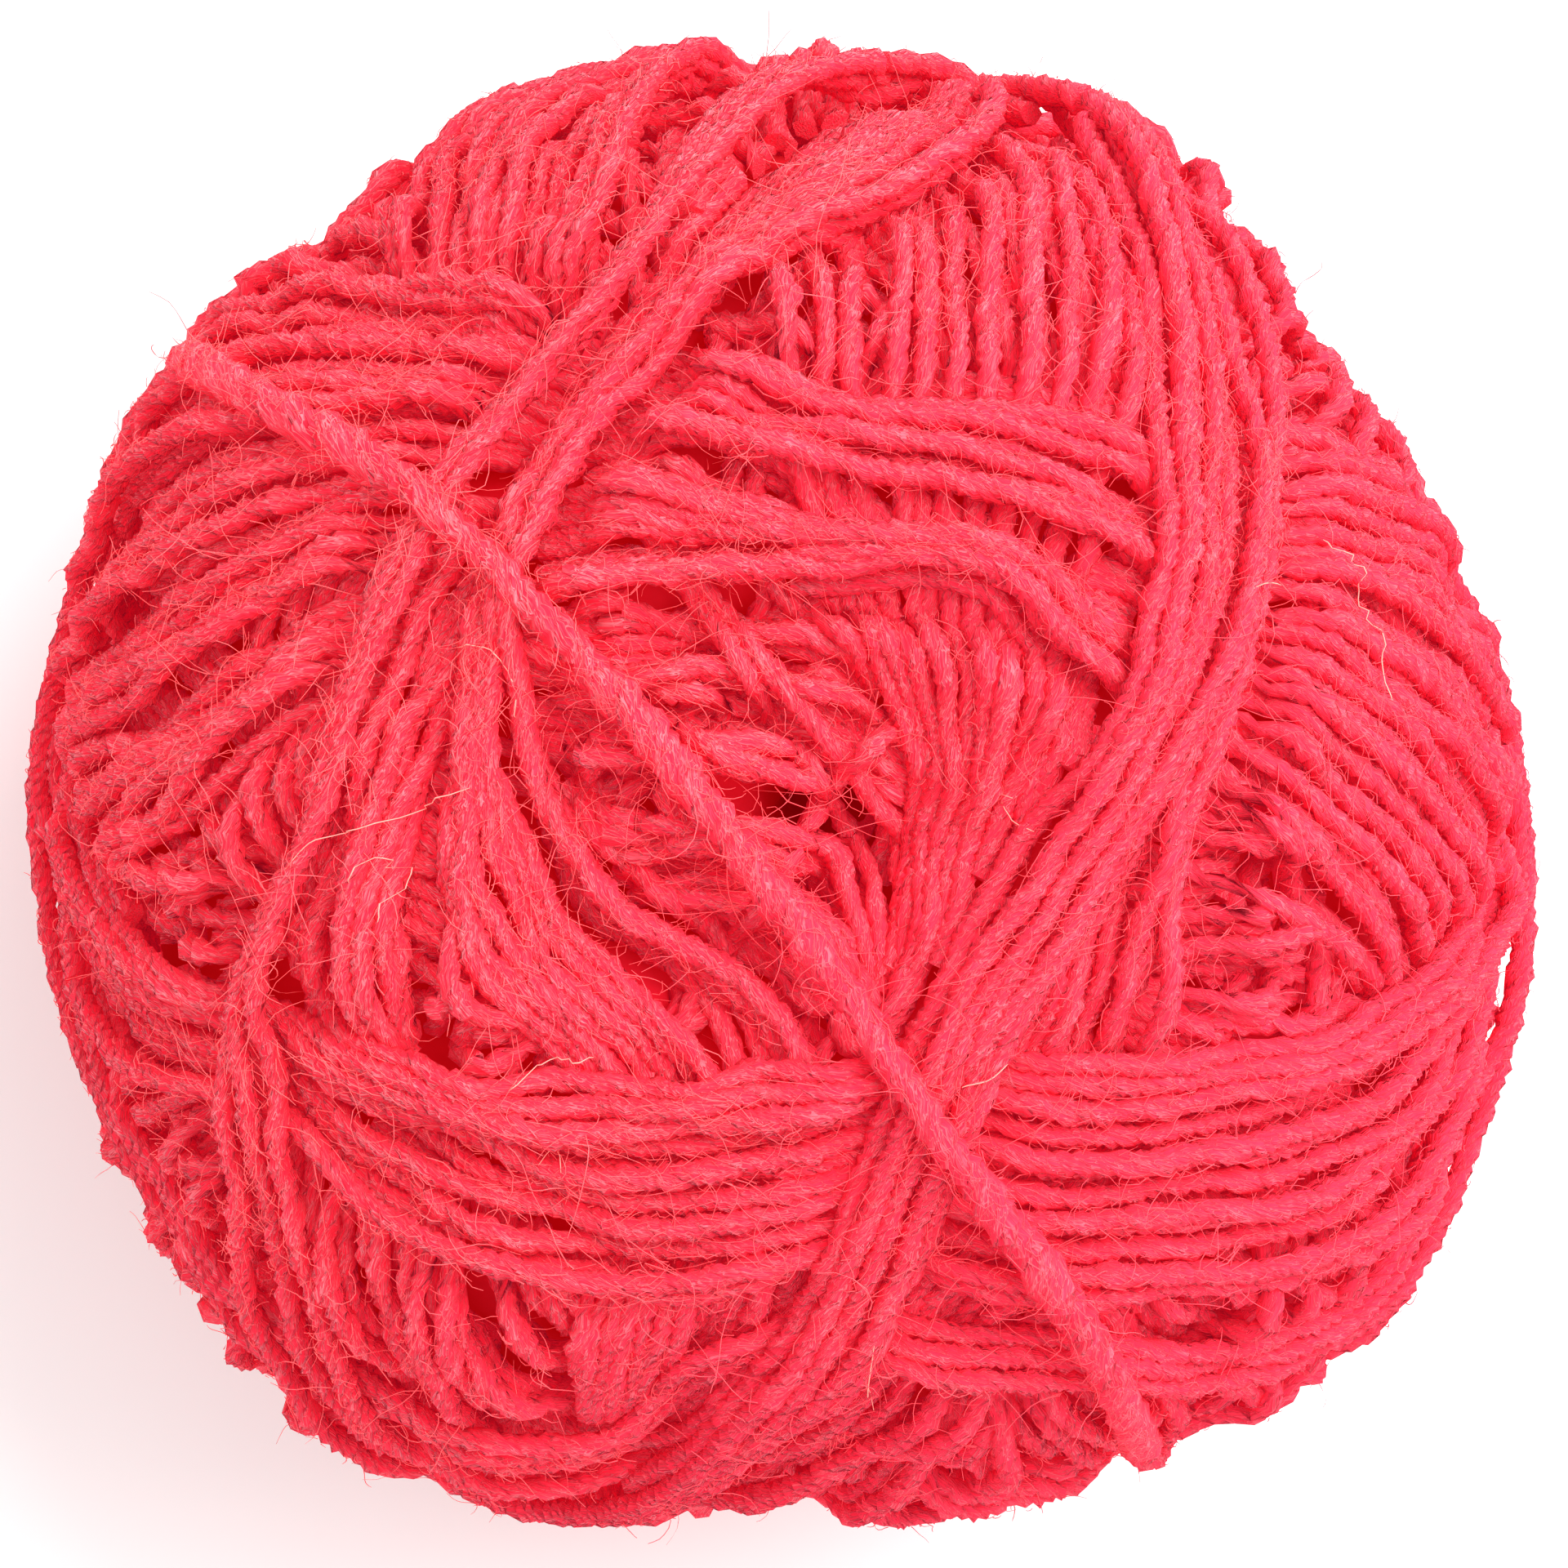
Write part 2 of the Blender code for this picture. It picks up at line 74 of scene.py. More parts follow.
# How one turn of yarn lies on those under it
yarn = {
    "radius": 0.73,
    "uneven": (0.93, 1.08),     # the thinnest and the thickest turn, over that
    "thickness": 0.08,          # how much it varies along a turn
    "thicknessCycles": (17, 41, 67, 89),
    "wander": 0.2,
    "wanderCycles": (7, 11, 16, 23),
    "stray": 0.2,               # share of a turn's place in its bundle left to chance
    "arch": 0.8,                # height of its back over its middle, squashed a little
    "press": 0.2,               # how far it sinks into what it crosses
    "span": 0.84,               # its half width where others lie on it, over its radius
    "places": 11,               # places across a turn at which its ground is read
    "nest": 0.6,                # the share of its width that rides on neighbours
    "bedding": 0.9,             # mean depth of the turns' middles under the ball's form
    "crest": 0.2,
    "crestShare": 0.15,         # what is left of a height past the crest
    "trough": -2.8,
    "troughShare": 0.25,
    "layer": 1.4,               # how high a bundle stands before its turns crowd flat
    "nextLayer": 0.9,
    "mostLayers": 3,
    "pile": 0.5,
    "pitch": 1.15,
    "reach": 5,                 # path points that its tension carries it over
    "stiffness": 9,
    "plyPitch": 4.8,
    "groove": 0.24,
    "ringStep": 2,
    "underside": 14.0,          # stretches lower than this have their rings wider apart
    "cover": 0.1,               # how far others rise over a place before it is hidden
    "hiddenEnd": 6,             # path points that a turn runs on under the others
    "mended": 7,                # hidden path points that don't part a turn
    "fuzzless": 0.6,            # turns nearer than this to the trough bear no fuzz
    "dive": 2.2,                # how far a cut end goes under
    "diveReach": 8,
    "rest": 1.03,               # lowest middle of a turn over the floor, over its radius
    "settleEvery": 12,          # older turns wound before they are pressed even
    "seed": 11,
}

# Older turns pass round the hollow, nearest and furthest from it in radians.
# The first lie every way, and the last close round it.
olderTurns = (
    {"count": 180, "nearest": 0.3, "furthest": 1.57},
    {"count": 160, "nearest": 0.05, "furthest": 0.66},
)

# Bundles in the order of winding, each from one edge to the other. Each turn
# runs on over the hidden face as its own mirror image through the middle.
windowBundles = (
    {"name": "windowUpper", "piece": "windowTurns", "turns": 8,
     "oneEdge": ((-13, 9), (-5, 10), (1, 9), (5, 7), (9, 3)),
     "otherEdge": ((-13, 1), (-6, 0.4), (0, 0.2), (4, 0.6), (8.5, -1.5))},
    {"name": "windowLower", "piece": "windowTurns", "turns": 9,
     "oneEdge": ((-12, -1), (-6, -1.8), (0, -2.8), (4.5, -4.6), (7.5, -8)),
     "otherEdge": ((-10, -12), (-5, -11.5), (0, -12), (3, -13.5), (5, -16))},
)

bundles = (
    {"name": "lowerLeftFan", "piece": "leftTurns", "turns": 16, "before": 0.15, "after": 1.0,
     "oneEdge": ((-24.5, -12), (-23.5, -20), (-22.5, -26), (-20, -31.5)),
     "otherEdge": ((-19, -15), (-13, -22), (-9, -26), (-5, -29.5))},
    {"name": "upperLeftFan", "piece": "leftTurns", "turns": 18,
     "oneEdge": ((-17, 31.5), (-18.5, 25), (-22, 16), (-27, 5)),
     "otherEdge": ((-2, 35), (-8, 27.5), (-13, 18), (-18, 6))},
    {"name": "upperRightFan", "piece": "rightTurns", "turns": 15,
     "oneEdge": ((1, 34.5), (4, 27.5), (8, 21), (12, 13)),
     "otherEdge": ((17, 31), (19.5, 25), (20.5, 18), (19, 10))},
    {"name": "rightFan", "piece": "rightTurns", "turns": 19,
     "oneEdge": ((8, 20), (18, 19), (27, 16.5), (32.5, 12)),
     "otherEdge": ((14, 7), (19, 3.5), (27, -4), (31, -12))},
    {"name": "innerRight", "piece": "rightTurns", "turns": 11,
     "oneEdge": ((0, 20), (4, 9.4), (8.6, 0), (7, -10), (1, -22)),
     "otherEdge": ((18, 20), (15.5, 9), (13.2, -1), (10, -10), (3, -24))},
    {"name": "crown", "piece": "crossTurns", "turns": 6, "before": 3.1, "after": 0.0,
     "oneEdge": ((-28, 20), (-15, 22), (2, 19.6), (14, 18), (21, 14.5)),
     "otherEdge": ((-29.5, 15), (-15, 17.6), (0, 15.6), (12, 13.1), (20.5, 9.5))},
    {"name": "brow", "piece": "crossTurns", "turns": 11, "before": 3.1, "after": 0.0,
     "oneEdge": ((-31, 9.5), (-18, 15.4), (-3, 14.2), (12, 11), (20.8, 7.5)),
     "otherEdge": ((-32, -5), (-20, 5.5), (-3, 10.2), (9.6, 9.9), (20.3, 4))},
    {"name": "rightSideFan", "piece": "rightTurns", "turns": 19, "before": 0.0, "after": 0.9,
     "oneEdge": ((20, 16), (23, 15.8), (28, 15.2), (33, 14)),
     "otherEdge": ((18.5, 3), (21, 0), (24.5, -4), (29.5, -10.5))},
    {"name": "leftOuterFan", "piece": "leftTurns", "turns": 9,
     "oneEdge": ((3, 34), (-7, 25.5), (-17, 13.5), (-22.5, -1), (-25.8, -14), (-24, -26)),
     "otherEdge": ((6, 33), (-4.5, 25), (-13.5, 14), (-18.2, 2), (-19.5, -10), (-15.5, -25))},
    {"name": "leftInnerFan", "piece": "leftTurns", "turns": 11,
     "oneEdge": ((6, 33), (-4, 25), (-13, 14.5), (-17, 3), (-16.5, -9), (-10, -20)),
     "otherEdge": ((10, 31), (-2.5, 24), (-11, 14), (-13.2, 1.5), (-8.8, -6.5), (2, -16))},
    {"name": "rightOuterFan", "piece": "rightTurns", "turns": 8,
     "oneEdge": ((15, 31), (20, 18), (21, 8), (17.5, -2), (13, -12), (9, -20)),
     "otherEdge": ((19, 29.5), (24, 15), (23, 6), (20.3, -3), (18.8, -12), (18, -22))},
    {"name": "foot", "piece": "crossTurns", "turns": 13,
     "oneEdge": ((-34.5, -2), (-24.5, -11.5), (-8, -15.2), (5, -14), (20, -13.5), (32, -9)),
     "otherEdge": ((-33, -11), (-25, -16.8), (-9, -25), (3, -25), (19, -25), (32.5, -17.5))},
    {"name": "lowerArc", "piece": "crossTurns", "turns": 4,
     "oneEdge": ((-12, -31.5), (-4, -28), (5, -27), (14, -27), (24, -27), (31, -21)),
     "otherEdge": ((-7, -34), (0, -30), (6, -28.5), (14, -29), (22, -29), (29, -25))},
    {"name": "outerLeftPair", "piece": "leftTurns", "turns": 3,
     "oneEdge": ((3, 34), (-7, 25), (-17, 13.5), (-22.5, -1), (-26.3, -12), (-25.8, -19), (-24, -28)),
     "otherEdge": ((5, 33.5), (-6, 25), (-15.5, 13), (-21, -1), (-24, -9), (-23.4, -17), (-20, -28))},
    {"name": "rightWaist", "piece": "rightTurns", "turns": 7,
     "oneEdge": ((13.5, 32), (18, 20), (18.3, 9), (14, -1.5), (7.3, -12.5), (0, -27.5)),
     "otherEdge": ((18.5, 30), (23.8, 17), (22.5, 7), (18, -3), (10.8, -13.2), (3, -29))},
)

# Single turns that show in the sunk window, over its bundles
windowTurns = (
    ((-9, 9.5), (-3, 8.4), (1.5, 8.0), (5, 6.4), (6, 3), (4, 0)),
    ((-9, 5), (-3, 6.2), (1, 5.0), (5, 4), (9, 2)),
    ((-9, 4.5), (-4, 1.8), (-0.4, 0.5), (3, -0.3), (5.6, 2.0), (8.5, 4)),
    ((0, 11), (2, 9.1), (4.8, 6.5), (7.5, 3.3), (9.6, 0.2), (10, -5)),
    ((2.5, 11), (5.6, 8.8), (8, 4.6), (10.1, 1.5), (11, -4)),
    ((-12, -4.5), (-7, -4.2), (-2, -2.6), (2.2, -4), (3.8, -5), (5, -9)),
    ((1, 2), (3, -0.9), (4.8, -3), (6.1, -5.6), (6, -10)),
    ((3, 2), (5.6, -1.2), (8, -3.5), (9.3, -6), (9, -11)),
    ((-9.5, -8), (-6, -6.4), (-2, -6), (2, -7.4), (4.5, -11)),
    ((-8.5, -4.8), (-5.6, -7.4), (-3, -10.6), (0, -15)),
)

# How finely the winding is worked out
grid = {
    "cells": 190,               # cells along a side of the cube that the ball is read on
    "coarse": 26,
    "blur": 0.085,              # how far the mean surface is evened out, in radians
    "blurCells": 14,
    "batch": 20000,
    "levelReach": 6,
    "pathStep": 0.009,          # between the points of a turn, in radians
    "stationSteps": 60,
    "meanRadius": 33.0,
}


def outlineRadius(angle):
    rows = ballForm["outline"]
    corners = np.radians([row[0] for row in rows])
    turn = 2.0 * math.pi
    corners = np.concatenate([corners - turn, corners, corners + turn])
    radii = np.tile([row[1] for row in rows], 3)
    angle = np.mod(angle, turn)
    after = np.searchsorted(corners, angle, side="right")
    share = (angle - corners[after - 1]) / (corners[after] - corners[after - 1])
    ease = 0.5 * share + 0.5 * share * share * (3.0 - 2.0 * share)
    return radii[after - 1] * (1.0 - ease) + radii[after] * ease


def unit(vectors):
    return vectors / np.linalg.norm(vectors, axis=-1, keepdims=True)


def facePoint(places):
    # direction from the ball's middle to places seen on the upper face
    places = np.asarray(places, dtype=float)
    x, y = places[..., 0], places[..., 1]
    seen = np.minimum(np.hypot(x, y) / outlineRadius(np.arctan2(y, x)), ballForm["seenMost"])
    power = ballForm["profilePower"]
    z = ballForm["topRise"] * (1.0 - seen ** power) ** (1.0 / power)
    nearness = 1.0 - z / ballForm["sightDistance"]
    return unit(np.stack([x * nearness, y * nearness, z], axis=-1))


def formRadius(direction):
    x, y, z = direction[..., 0], direction[..., 1], direction[..., 2]
    power = ballForm["profilePower"]
    level = np.hypot(x, y) / outlineRadius(np.arctan2(y, x))
    half = np.where(z > 0, ballForm["topRise"], ballForm["baseDrop"])
    radius = (level ** power + (np.abs(z) / half) ** power) ** (-1.0 / power)
    middle, size = ballForm["windowMiddle"], ballForm["windowHalf"]
    across = (x * radius - middle[0]) / size[0]
    along = (y * radius - middle[1]) / size[1]
    inside = (ballForm["windowRim"] - np.hypot(across, along)) / ballForm["windowSlope"]
    inside = np.clip(inside, 0.0, 1.0)
    sunk = ballForm["windowDepth"] * inside * inside * (3.0 - 2.0 * inside)
    radius = radius - np.where(z > 0, sunk, 0.0)
    drop = np.maximum(-z, 1e-6)
    return np.where(z < 0, np.minimum(radius, ballForm["middleHeight"] / drop), radius)


hollowAxis = facePoint(hollowForm["middle"])


def hollowDepth(direction):
    away = np.arccos(np.clip(direction @ hollowAxis, -1.0, 1.0))
    low, high = hollowForm["floorAngle"], hollowForm["mouthAngle"]
    share = np.clip((high - away) / (high - low), 0.0, 1.0)
    return hollowForm["depth"] * share * share * (3.0 - 2.0 * share)


def cellOf(direction, count):
    size = np.abs(direction)
    axis = np.argmax(size, axis=-1)
    main = np.take_along_axis(direction, axis[..., None], -1)[..., 0]
    second = np.take_along_axis(direction, ((axis + 1) % 3)[..., None], -1)[..., 0]
    third = np.take_along_axis(direction, ((axis + 2) % 3)[..., None], -1)[..., 0]
    side = axis * 2 + (main > 0)
    u = np.arctan(second / np.abs(main)) * 4.0 / math.pi
    v = np.arctan(third / np.abs(main)) * 4.0 / math.pi
    column = np.clip(((u + 1.0) * 0.5 * count).astype(int), 0, count - 1)
    row = np.clip(((v + 1.0) * 0.5 * count).astype(int), 0, count - 1)
    return (side * count + row) * count + column


def cellDirections(count):
    steps = np.tan(((np.arange(count) + 0.5) / count * 2.0 - 1.0) * math.pi / 4.0)
    v, u = np.meshgrid(steps, steps, indexing="ij")
    sides = []
    for axis in range(3):
        for sign in (-1.0, 1.0):
            block = np.zeros((count, count, 3))
            block[..., axis] = sign
            block[..., (axis + 1) % 3] = u
            block[..., (axis + 2) % 3] = v
            sides.append(block.reshape(-1, 3))
    return unit(np.concatenate(sides))


def evenPath(curve):
    gaps = np.linalg.norm(np.roll(curve, -1, axis=0) - curve, axis=1)
    far = np.concatenate([[0.0], np.cumsum(gaps)])
    even = np.linspace(0.0, far[-1], int(far[-1] / grid["pathStep"]), endpoint=False)
    closed = np.concatenate([curve, curve[:1]])
    return unit(np.stack([np.interp(even, far, closed[:, k]) for k in range(3)], axis=1))


def closedPath(stations):
    loop = np.concatenate([stations, -stations])
    a, b, c, d = (np.roll(loop, shift, axis=0)[:, None, :] for shift in (1, 0, -1, -2))
    t = np.linspace(0.0, 1.0, grid["stationSteps"], endpoint=False)[None, :, None]
    curve = 0.5 * (2.0 * b + (c - a) * t + (2.0 * a - 5.0 * b + 4.0 * c - d) * t ** 2
                   + (3.0 * b - a - 3.0 * c + d) * t ** 3)
    return evenPath(unit(curve.reshape(-1, 3)))


def carriedOn(stations, lowest=0.3, step=0.42):
    # runs both ends straight on, over the ball, until they reach its side
    line = list(stations)
    for _ in range(2):
        line.reverse()
        while line[-1][2] > lowest:
            across = unit(np.cross(line[-2], line[-1]))
            onward = np.cross(across, line[-1])
            line.append(line[-1] * math.cos(step) + onward * math.sin(step))
    return np.array(line)


def smoothAlong(values, reach):
    window = np.hanning(2 * reach + 3)[1:-1]
    wrapped = np.concatenate([values[-reach:], values, values[:reach]])
    return np.convolve(wrapped, window / window.sum(), mode="valid")


def highestAlong(values, reach):
    return np.max([np.roll(values, shift) for shift in range(-reach, reach + 1)], axis=0)


def loopNoise(rng, count, cycles):
    t = np.linspace(0.0, 2.0 * math.pi, count, endpoint=False)
    total = np.zeros(count)
    for cycle in cycles:
        total += np.sin(t * cycle + rng.uniform(0.0, 2.0 * math.pi)) * rng.uniform(0.4, 1.0)
    return total / math.sqrt(len(cycles))


def acrossOf(path):
    heading = np.roll(path, -1, axis=0) - np.roll(path, 1, axis=0)
    return unit(np.cross(path, heading))


class Winding:
    # the height of what is wound so far, cell by cell, and the turns in it

    def __init__(self):
        self.rng = np.random.default_rng(yarn["seed"])
        self.cellWay = cellDirections(grid["cells"])
        self.dip = hollowDepth(self.cellWay)
        self.height = -self.dip
        self.turns = []
        # each cell's nearest coarse cells, by which the mean surface is blurred
        self.clear = np.flatnonzero(self.dip < hollowForm["edgeDip"])
        self.coarse = cellOf(self.cellWay[self.clear], grid["coarse"])
        centres = cellDirections(grid["coarse"])
        count = grid["blurCells"]
        self.near = np.empty((len(self.cellWay), count), dtype=int)
        self.share = np.empty((len(self.cellWay), count))
        self.held = np.bincount(self.coarse, minlength=len(centres))
        for start in range(0, len(self.cellWay), grid["batch"]):
            batch = slice(start, start + grid["batch"])
            part = self.cellWay[batch] @ centres.T
            part[:, self.held == 0] = -2.0      # farther off than any other
            near = np.argpartition(-part, count, axis=1)[:, :count]
            away = (np.take_along_axis(part, near, 1) - 1.0) / grid["blur"] ** 2
            self.near[batch] = near
            self.share[batch] = np.exp(away)
        self.share /= self.share.sum(axis=1, keepdims=True)

    def touched(self, path, across, radius, places):
        spread = places * radius / grid["meanRadius"]
        spots = path[:, None, :] + across[:, None, :] * spread[None, :, None]
        return cellOf(unit(spots), grid["cells"])

    def lay(self, path, piece, base=None, most=yarn["layer"], kept=None):
        count = len(path)
        shift = loopNoise(self.rng, count, yarn["wanderCycles"]) * yarn["wander"]
        path = unit(path + acrossOf(path) * (shift / grid["meanRadius"])[:, None])
        across = acrossOf(path)
        thick = 1.0 + loopNoise(self.rng, count, yarn["thicknessCycles"]) * yarn["thickness"]
        radius = yarn["radius"] * self.rng.uniform(*yarn["uneven"]) * thick
        places = np.linspace(-1.0, 1.0, yarn["places"])
        half = yarn["radius"] * yarn["span"]
        arch = np.sqrt(1.0 - places ** 2) * yarn["arch"] * half
        cells = self.touched(path, across, half, places)
        rides = np.abs(places) <= yarn["nest"]
        ground = self.height[cells]
        middle = (ground[:, rides] + arch[rides]).max(axis=1) - yarn["press"]
        if base is not None:
            crowded = base[cells].max(axis=1) + most - arch.max()
            middle = np.minimum(middle, crowded + (middle - crowded) * yarn["pile"])
        middle = smoothAlong(highestAlong(middle, yarn["reach"]), yarn["stiffness"])
        if kept is None:
            kept = np.ones(count, dtype=bool)
        else:
            # both ends go under what lies beside them
            nearEnd = smoothAlong(kept.astype(float), yarn["diveReach"])
            middle -= yarn["dive"] * (1.0 - np.clip(nearEnd * 2.0 - 1.0, 0.0, 1.0))
        np.maximum.at(self.height, cells[kept].ravel(), (middle[:, None] + arch)[kept].ravel())
        self.turns.append({"path": path, "across": across, "middle": middle, "cells": cells,
                           "arch": arch, "radius": radius, "piece": piece, "kept": kept,
                           "tone": self.rng.uniform(0.0, 1.0)})

    def settle(self):
        # presses all that is wound so far back to one even surface
        total = np.bincount(self.coarse, weights=self.height[self.clear], minlength=len(self.held))
        mean = total / np.maximum(self.held, 1)
        level = (mean[self.near] * self.share).sum(axis=1)
        self.height -= level
        for turn in self.turns:
            here = level[cellOf(turn["path"], grid["cells"])]
            turn["middle"] -= smoothAlong(here, grid["levelReach"])


def layOlderTurns(winding):
    side = unit(np.cross(hollowAxis, [0.0, 1.0, 0.0]))
    other = np.cross(hollowAxis, side)
    t = np.arange(0.0, 2.0 * math.pi, grid["pathStep"])[:, None]
    goldenTurn = math.pi * (3.0 - math.sqrt(5.0))
    goldenShare = 0.618034
    every = yarn["settleEvery"]
    for row in olderTurns:
        for k in range(row["count"]):
            share = k * goldenShare % 1.0
            miss = row["nearest"] + (row["furthest"] - row["nearest"]) * share
            flat = side * math.cos(k * goldenTurn) + other * math.sin(k * goldenTurn)
            normal = hollowAxis * math.sin(miss) + flat * math.cos(miss)
            first = unit(np.cross(normal, hollowAxis))
            second = np.cross(normal, first)
            winding.lay(first * np.cos(t) + second * np.sin(t), "olderTurns")
            if k % every == every - 1:
                winding.settle()
        winding.settle()


def layBundle(winding, bundle):
    # turns that lie closer than the pitch go down in passes, one over the other
    one, last = np.array(bundle["oneEdge"], float), np.array(bundle["otherEdge"], float)
    turns = bundle["turns"]
    narrowest = np.linalg.norm(one - last, axis=1).min() / turns
    layers = max(1, round(yarn["pitch"] / narrowest))
    base = winding.height.copy()
    most = yarn["layer"] + (min(layers, yarn["mostLayers"]) - 1) * yarn["nextLayer"]
    for first in range(min(layers, turns)):
        for k in range(first, turns, layers):
            chance = winding.rng.uniform(-yarn["stray"], yarn["stray"])
            share = (k + 0.5 + chance) / turns
            stations = facePoint(one * (1.0 - share) + last * share)
            path = closedPath(stations)
            kept = None
            if "before" in bundle:
                start = np.argmax(path @ stations[0]) - bundle["before"] / grid["pathStep"]
                end = np.argmax(path @ stations[-1]) + bundle["after"] / grid["pathStep"]
                kept = (np.arange(len(path)) - start) % len(path) < (end - start) % len(path)
            winding.lay(path, bundle["piece"], base, most, kept)
    winding.settle()


def windBall():
    winding = Winding()
    layOlderTurns(winding)
    for bundle in windowBundles:
        layBundle(winding, bundle)
    base = winding.height.copy()
    for line in windowTurns:
        winding.lay(closedPath(carriedOn(facePoint(line))), "windowTurns", base)
    winding.settle()
    for bundle in bundles:
        layBundle(winding, bundle)
    return winding


def runsOf(mask):
    # first and last index of each stretch of a closed row that is true
    if mask.all():
        return [(0, len(mask) - 1)]
    start = int(np.argmin(mask))
    rolled = np.roll(mask, -start)
    edges = np.flatnonzero(np.diff(np.concatenate([[0], rolled.astype(int), [0]])))
    return [(a + start, b - 1 + start) for a, b in zip(edges[::2], edges[1::2])]


def levelled(middle):
    # height of a turn's middle over the ball's form, peaks and pits drawn in
    middle = middle - yarn["bedding"]
    over = np.maximum(middle - yarn["crest"], 0.0)
    under = np.minimum(middle - yarn["trough"], 0.0)
    level = np.clip(middle, yarn["trough"], yarn["crest"])
    return level + over * yarn["crestShare"] + under * yarn["troughShare"]


def shownStretches(winding):
    # the stretches of each turn that are not under others, as middle lines in mm
    stretches = []
    for turn in winding.turns:
        tops = turn["middle"][:, None] + turn["arch"]
        seen = tops > winding.height[turn["cells"]] - yarn["cover"]
        shown = seen[:, 1:-1].any(axis=1)
        reached = highestAlong((shown & turn["kept"]).astype(int), yarn["hiddenEnd"] + yarn["mended"])
        shown = (highestAlong(1 - reached, yarn["mended"]) == 0) & turn["kept"]
        bare = seen.mean(axis=1) * (levelled(turn["middle"]) > yarn["trough"] + yarn["fuzzless"])
        reach = formRadius(turn["path"]) + levelled(turn["middle"])
        points = turn["path"] * reach[:, None] + ballForm["shift"]
        points[:, 2] = np.maximum(points[:, 2], turn["radius"] * yarn["rest"])
        count = len(points)
        for first, last in runsOf(shown):
            hidden = points[np.arange(first, last + 1) % count, 2].max() < yarn["underside"]
            index = np.arange(first, last + 1, yarn["ringStep"] + hidden) % count
            if len(index) > 3:
                stretches.append({"points": points[index], "across": turn["across"][index],
                                  "way": turn["path"][index], "radius": turn["radius"][index],
                                  "bare": bare[index], "tone": turn["tone"],
                                  "piece": turn["piece"]})
    return stretches


# The single last turn, slantwise over the face
crossingTurn = {
    "line": ((-30, 21), (-24, 17.5), (-15.8, 12.4), (-6.2, 1.9), (1.7, -8.3),
             (7.6, -16.6), (13.5, -24.5), (17, -31)),
    "radius": 1.12,
    "span": 0.9,
    "lift": 1.0,
    "rimLift": -0.9,        # so that it hugs the ball where it goes over the rim
    "rimLow": 0.1,
    "rimHigh": 0.6,
    "lowest": -0.5,
    "step": 0.25,
    "groundShare": 0.7,     # the share of its width under which the ground is read
    "places": 7,
    "stiffness": 16,
    "dive": 3.0,
    "divePoints": 12,
    "thicknessCycles": (5, 9, 14),
    "tone": 0.3,
}


def crossingStretch(winding):
    # the last turn, taut over what lies under it, both ends going under
    line = carriedOn(facePoint(crossingTurn["line"]), crossingTurn["lowest"], crossingTurn["step"])
    path = closedPath(line)
    start, end = np.argmax(path @ line[0]), np.argmax(path @ line[-1])
    path = np.roll(path, -start, axis=0)[:(end - start) % len(path)]
    across = acrossOf(path)
    across[[0, -1]] = across[[1, -2]]
    share = crossingTurn["groundShare"]
    places = np.linspace(-share, share, crossingTurn["places"])
    cells = winding.touched(path, across, crossingTurn["radius"], places)
    ground = formRadius(path) + levelled(winding.height[cells].max(axis=1))
    steps = np.linalg.norm(np.diff(path, axis=0), axis=1)
    travel = np.concatenate([[0.0], np.cumsum(steps)])
    flat = np.stack([ground * np.cos(travel), ground * np.sin(travel)], axis=1)
    hull = [0]
    for k in range(1, len(flat)):
        while len(hull) > 1:
            a, b = flat[hull[-2]], flat[hull[-1]]
            if (b[0] - a[0]) * (flat[k][1] - a[1]) > (b[1] - a[1]) * (flat[k][0] - a[0]):
                break
            hull.pop()
        hull.append(k)
    taut = ground.copy()
    for a, b in zip(hull, hull[1:]):
        here = travel[a:b + 1]
        chord = ground[a] * ground[b] * math.sin(travel[b] - travel[a])
        taut[a:b + 1] = chord / (ground[a] * np.sin(here - travel[a])
                                 + ground[b] * np.sin(travel[b] - here))
    upper = (path[:, 2] - crossingTurn["rimLow"]) / (crossingTurn["rimHigh"] - crossingTurn["rimLow"])
    upper = np.clip(upper, 0.0, 1.0)
    taut = np.minimum(taut, ground + crossingTurn["span"] * upper)
    reach = crossingTurn["stiffness"]
    mean = np.ones(2 * reach + 1) / (2 * reach + 1)
    taut = np.convolve(np.pad(taut, reach, mode="edge"), mean, mode="valid")
    lift = crossingTurn["rimLift"] + (crossingTurn["lift"] - crossingTurn["rimLift"]) * upper
    dive = np.linspace(crossingTurn["dive"], 0.0, crossingTurn["divePoints"])
    lift[:len(dive)] -= dive
    lift[-len(dive):] -= dive[::-1]
    points = path * (taut + lift)[:, None] + ballForm["shift"]
    thick = 1.0 + loopNoise(winding.rng, len(path), crossingTurn["thicknessCycles"]) * yarn["thickness"]
    rings = slice(None, None, yarn["ringStep"])
    return {"points": points[rings], "across": across[rings], "way": path[rings],
            "radius": (crossingTurn["radius"] * thick)[rings],
            "bare": np.ones(len(points[rings])), "tone": crossingTurn["tone"],
            "piece": "crossTurns"}


class Wire:
    # a node socket that ordinary arithmetic works on

    def __init__(self, tree, socket):
        self.tree = tree
        self.socket = socket

    def math(self, operation, first, second):
        node = addNode(self.tree, "ShaderNodeMath", {"operation": operation},
                       {0: first, 1: second})
        return Wire(self.tree, node.outputs[0])

    def __add__(self, other):
        return self.math("ADD", self, other)

    def __radd__(self, other):
        return self.math("ADD", other, self)

    def __sub__(self, other):
        return self.math("SUBTRACT", self, other)

    def __rsub__(self, other):
        return self.math("SUBTRACT", other, self)

    def __mul__(self, other):
        return self.math("MULTIPLY", self, other)

    def __rmul__(self, other):
        return self.math("MULTIPLY", other, self)

    def __truediv__(self, other):
        return self.math("DIVIDE", self, other)

    def ramp(self, low, high):
        node = addNode(self.tree, "ShaderNodeMapRange", {"interpolation_type": "SMOOTHSTEP"},
                       {"Value": self, "From Min": low, "From Max": high})
        return Wire(self.tree, node.outputs["Result"])


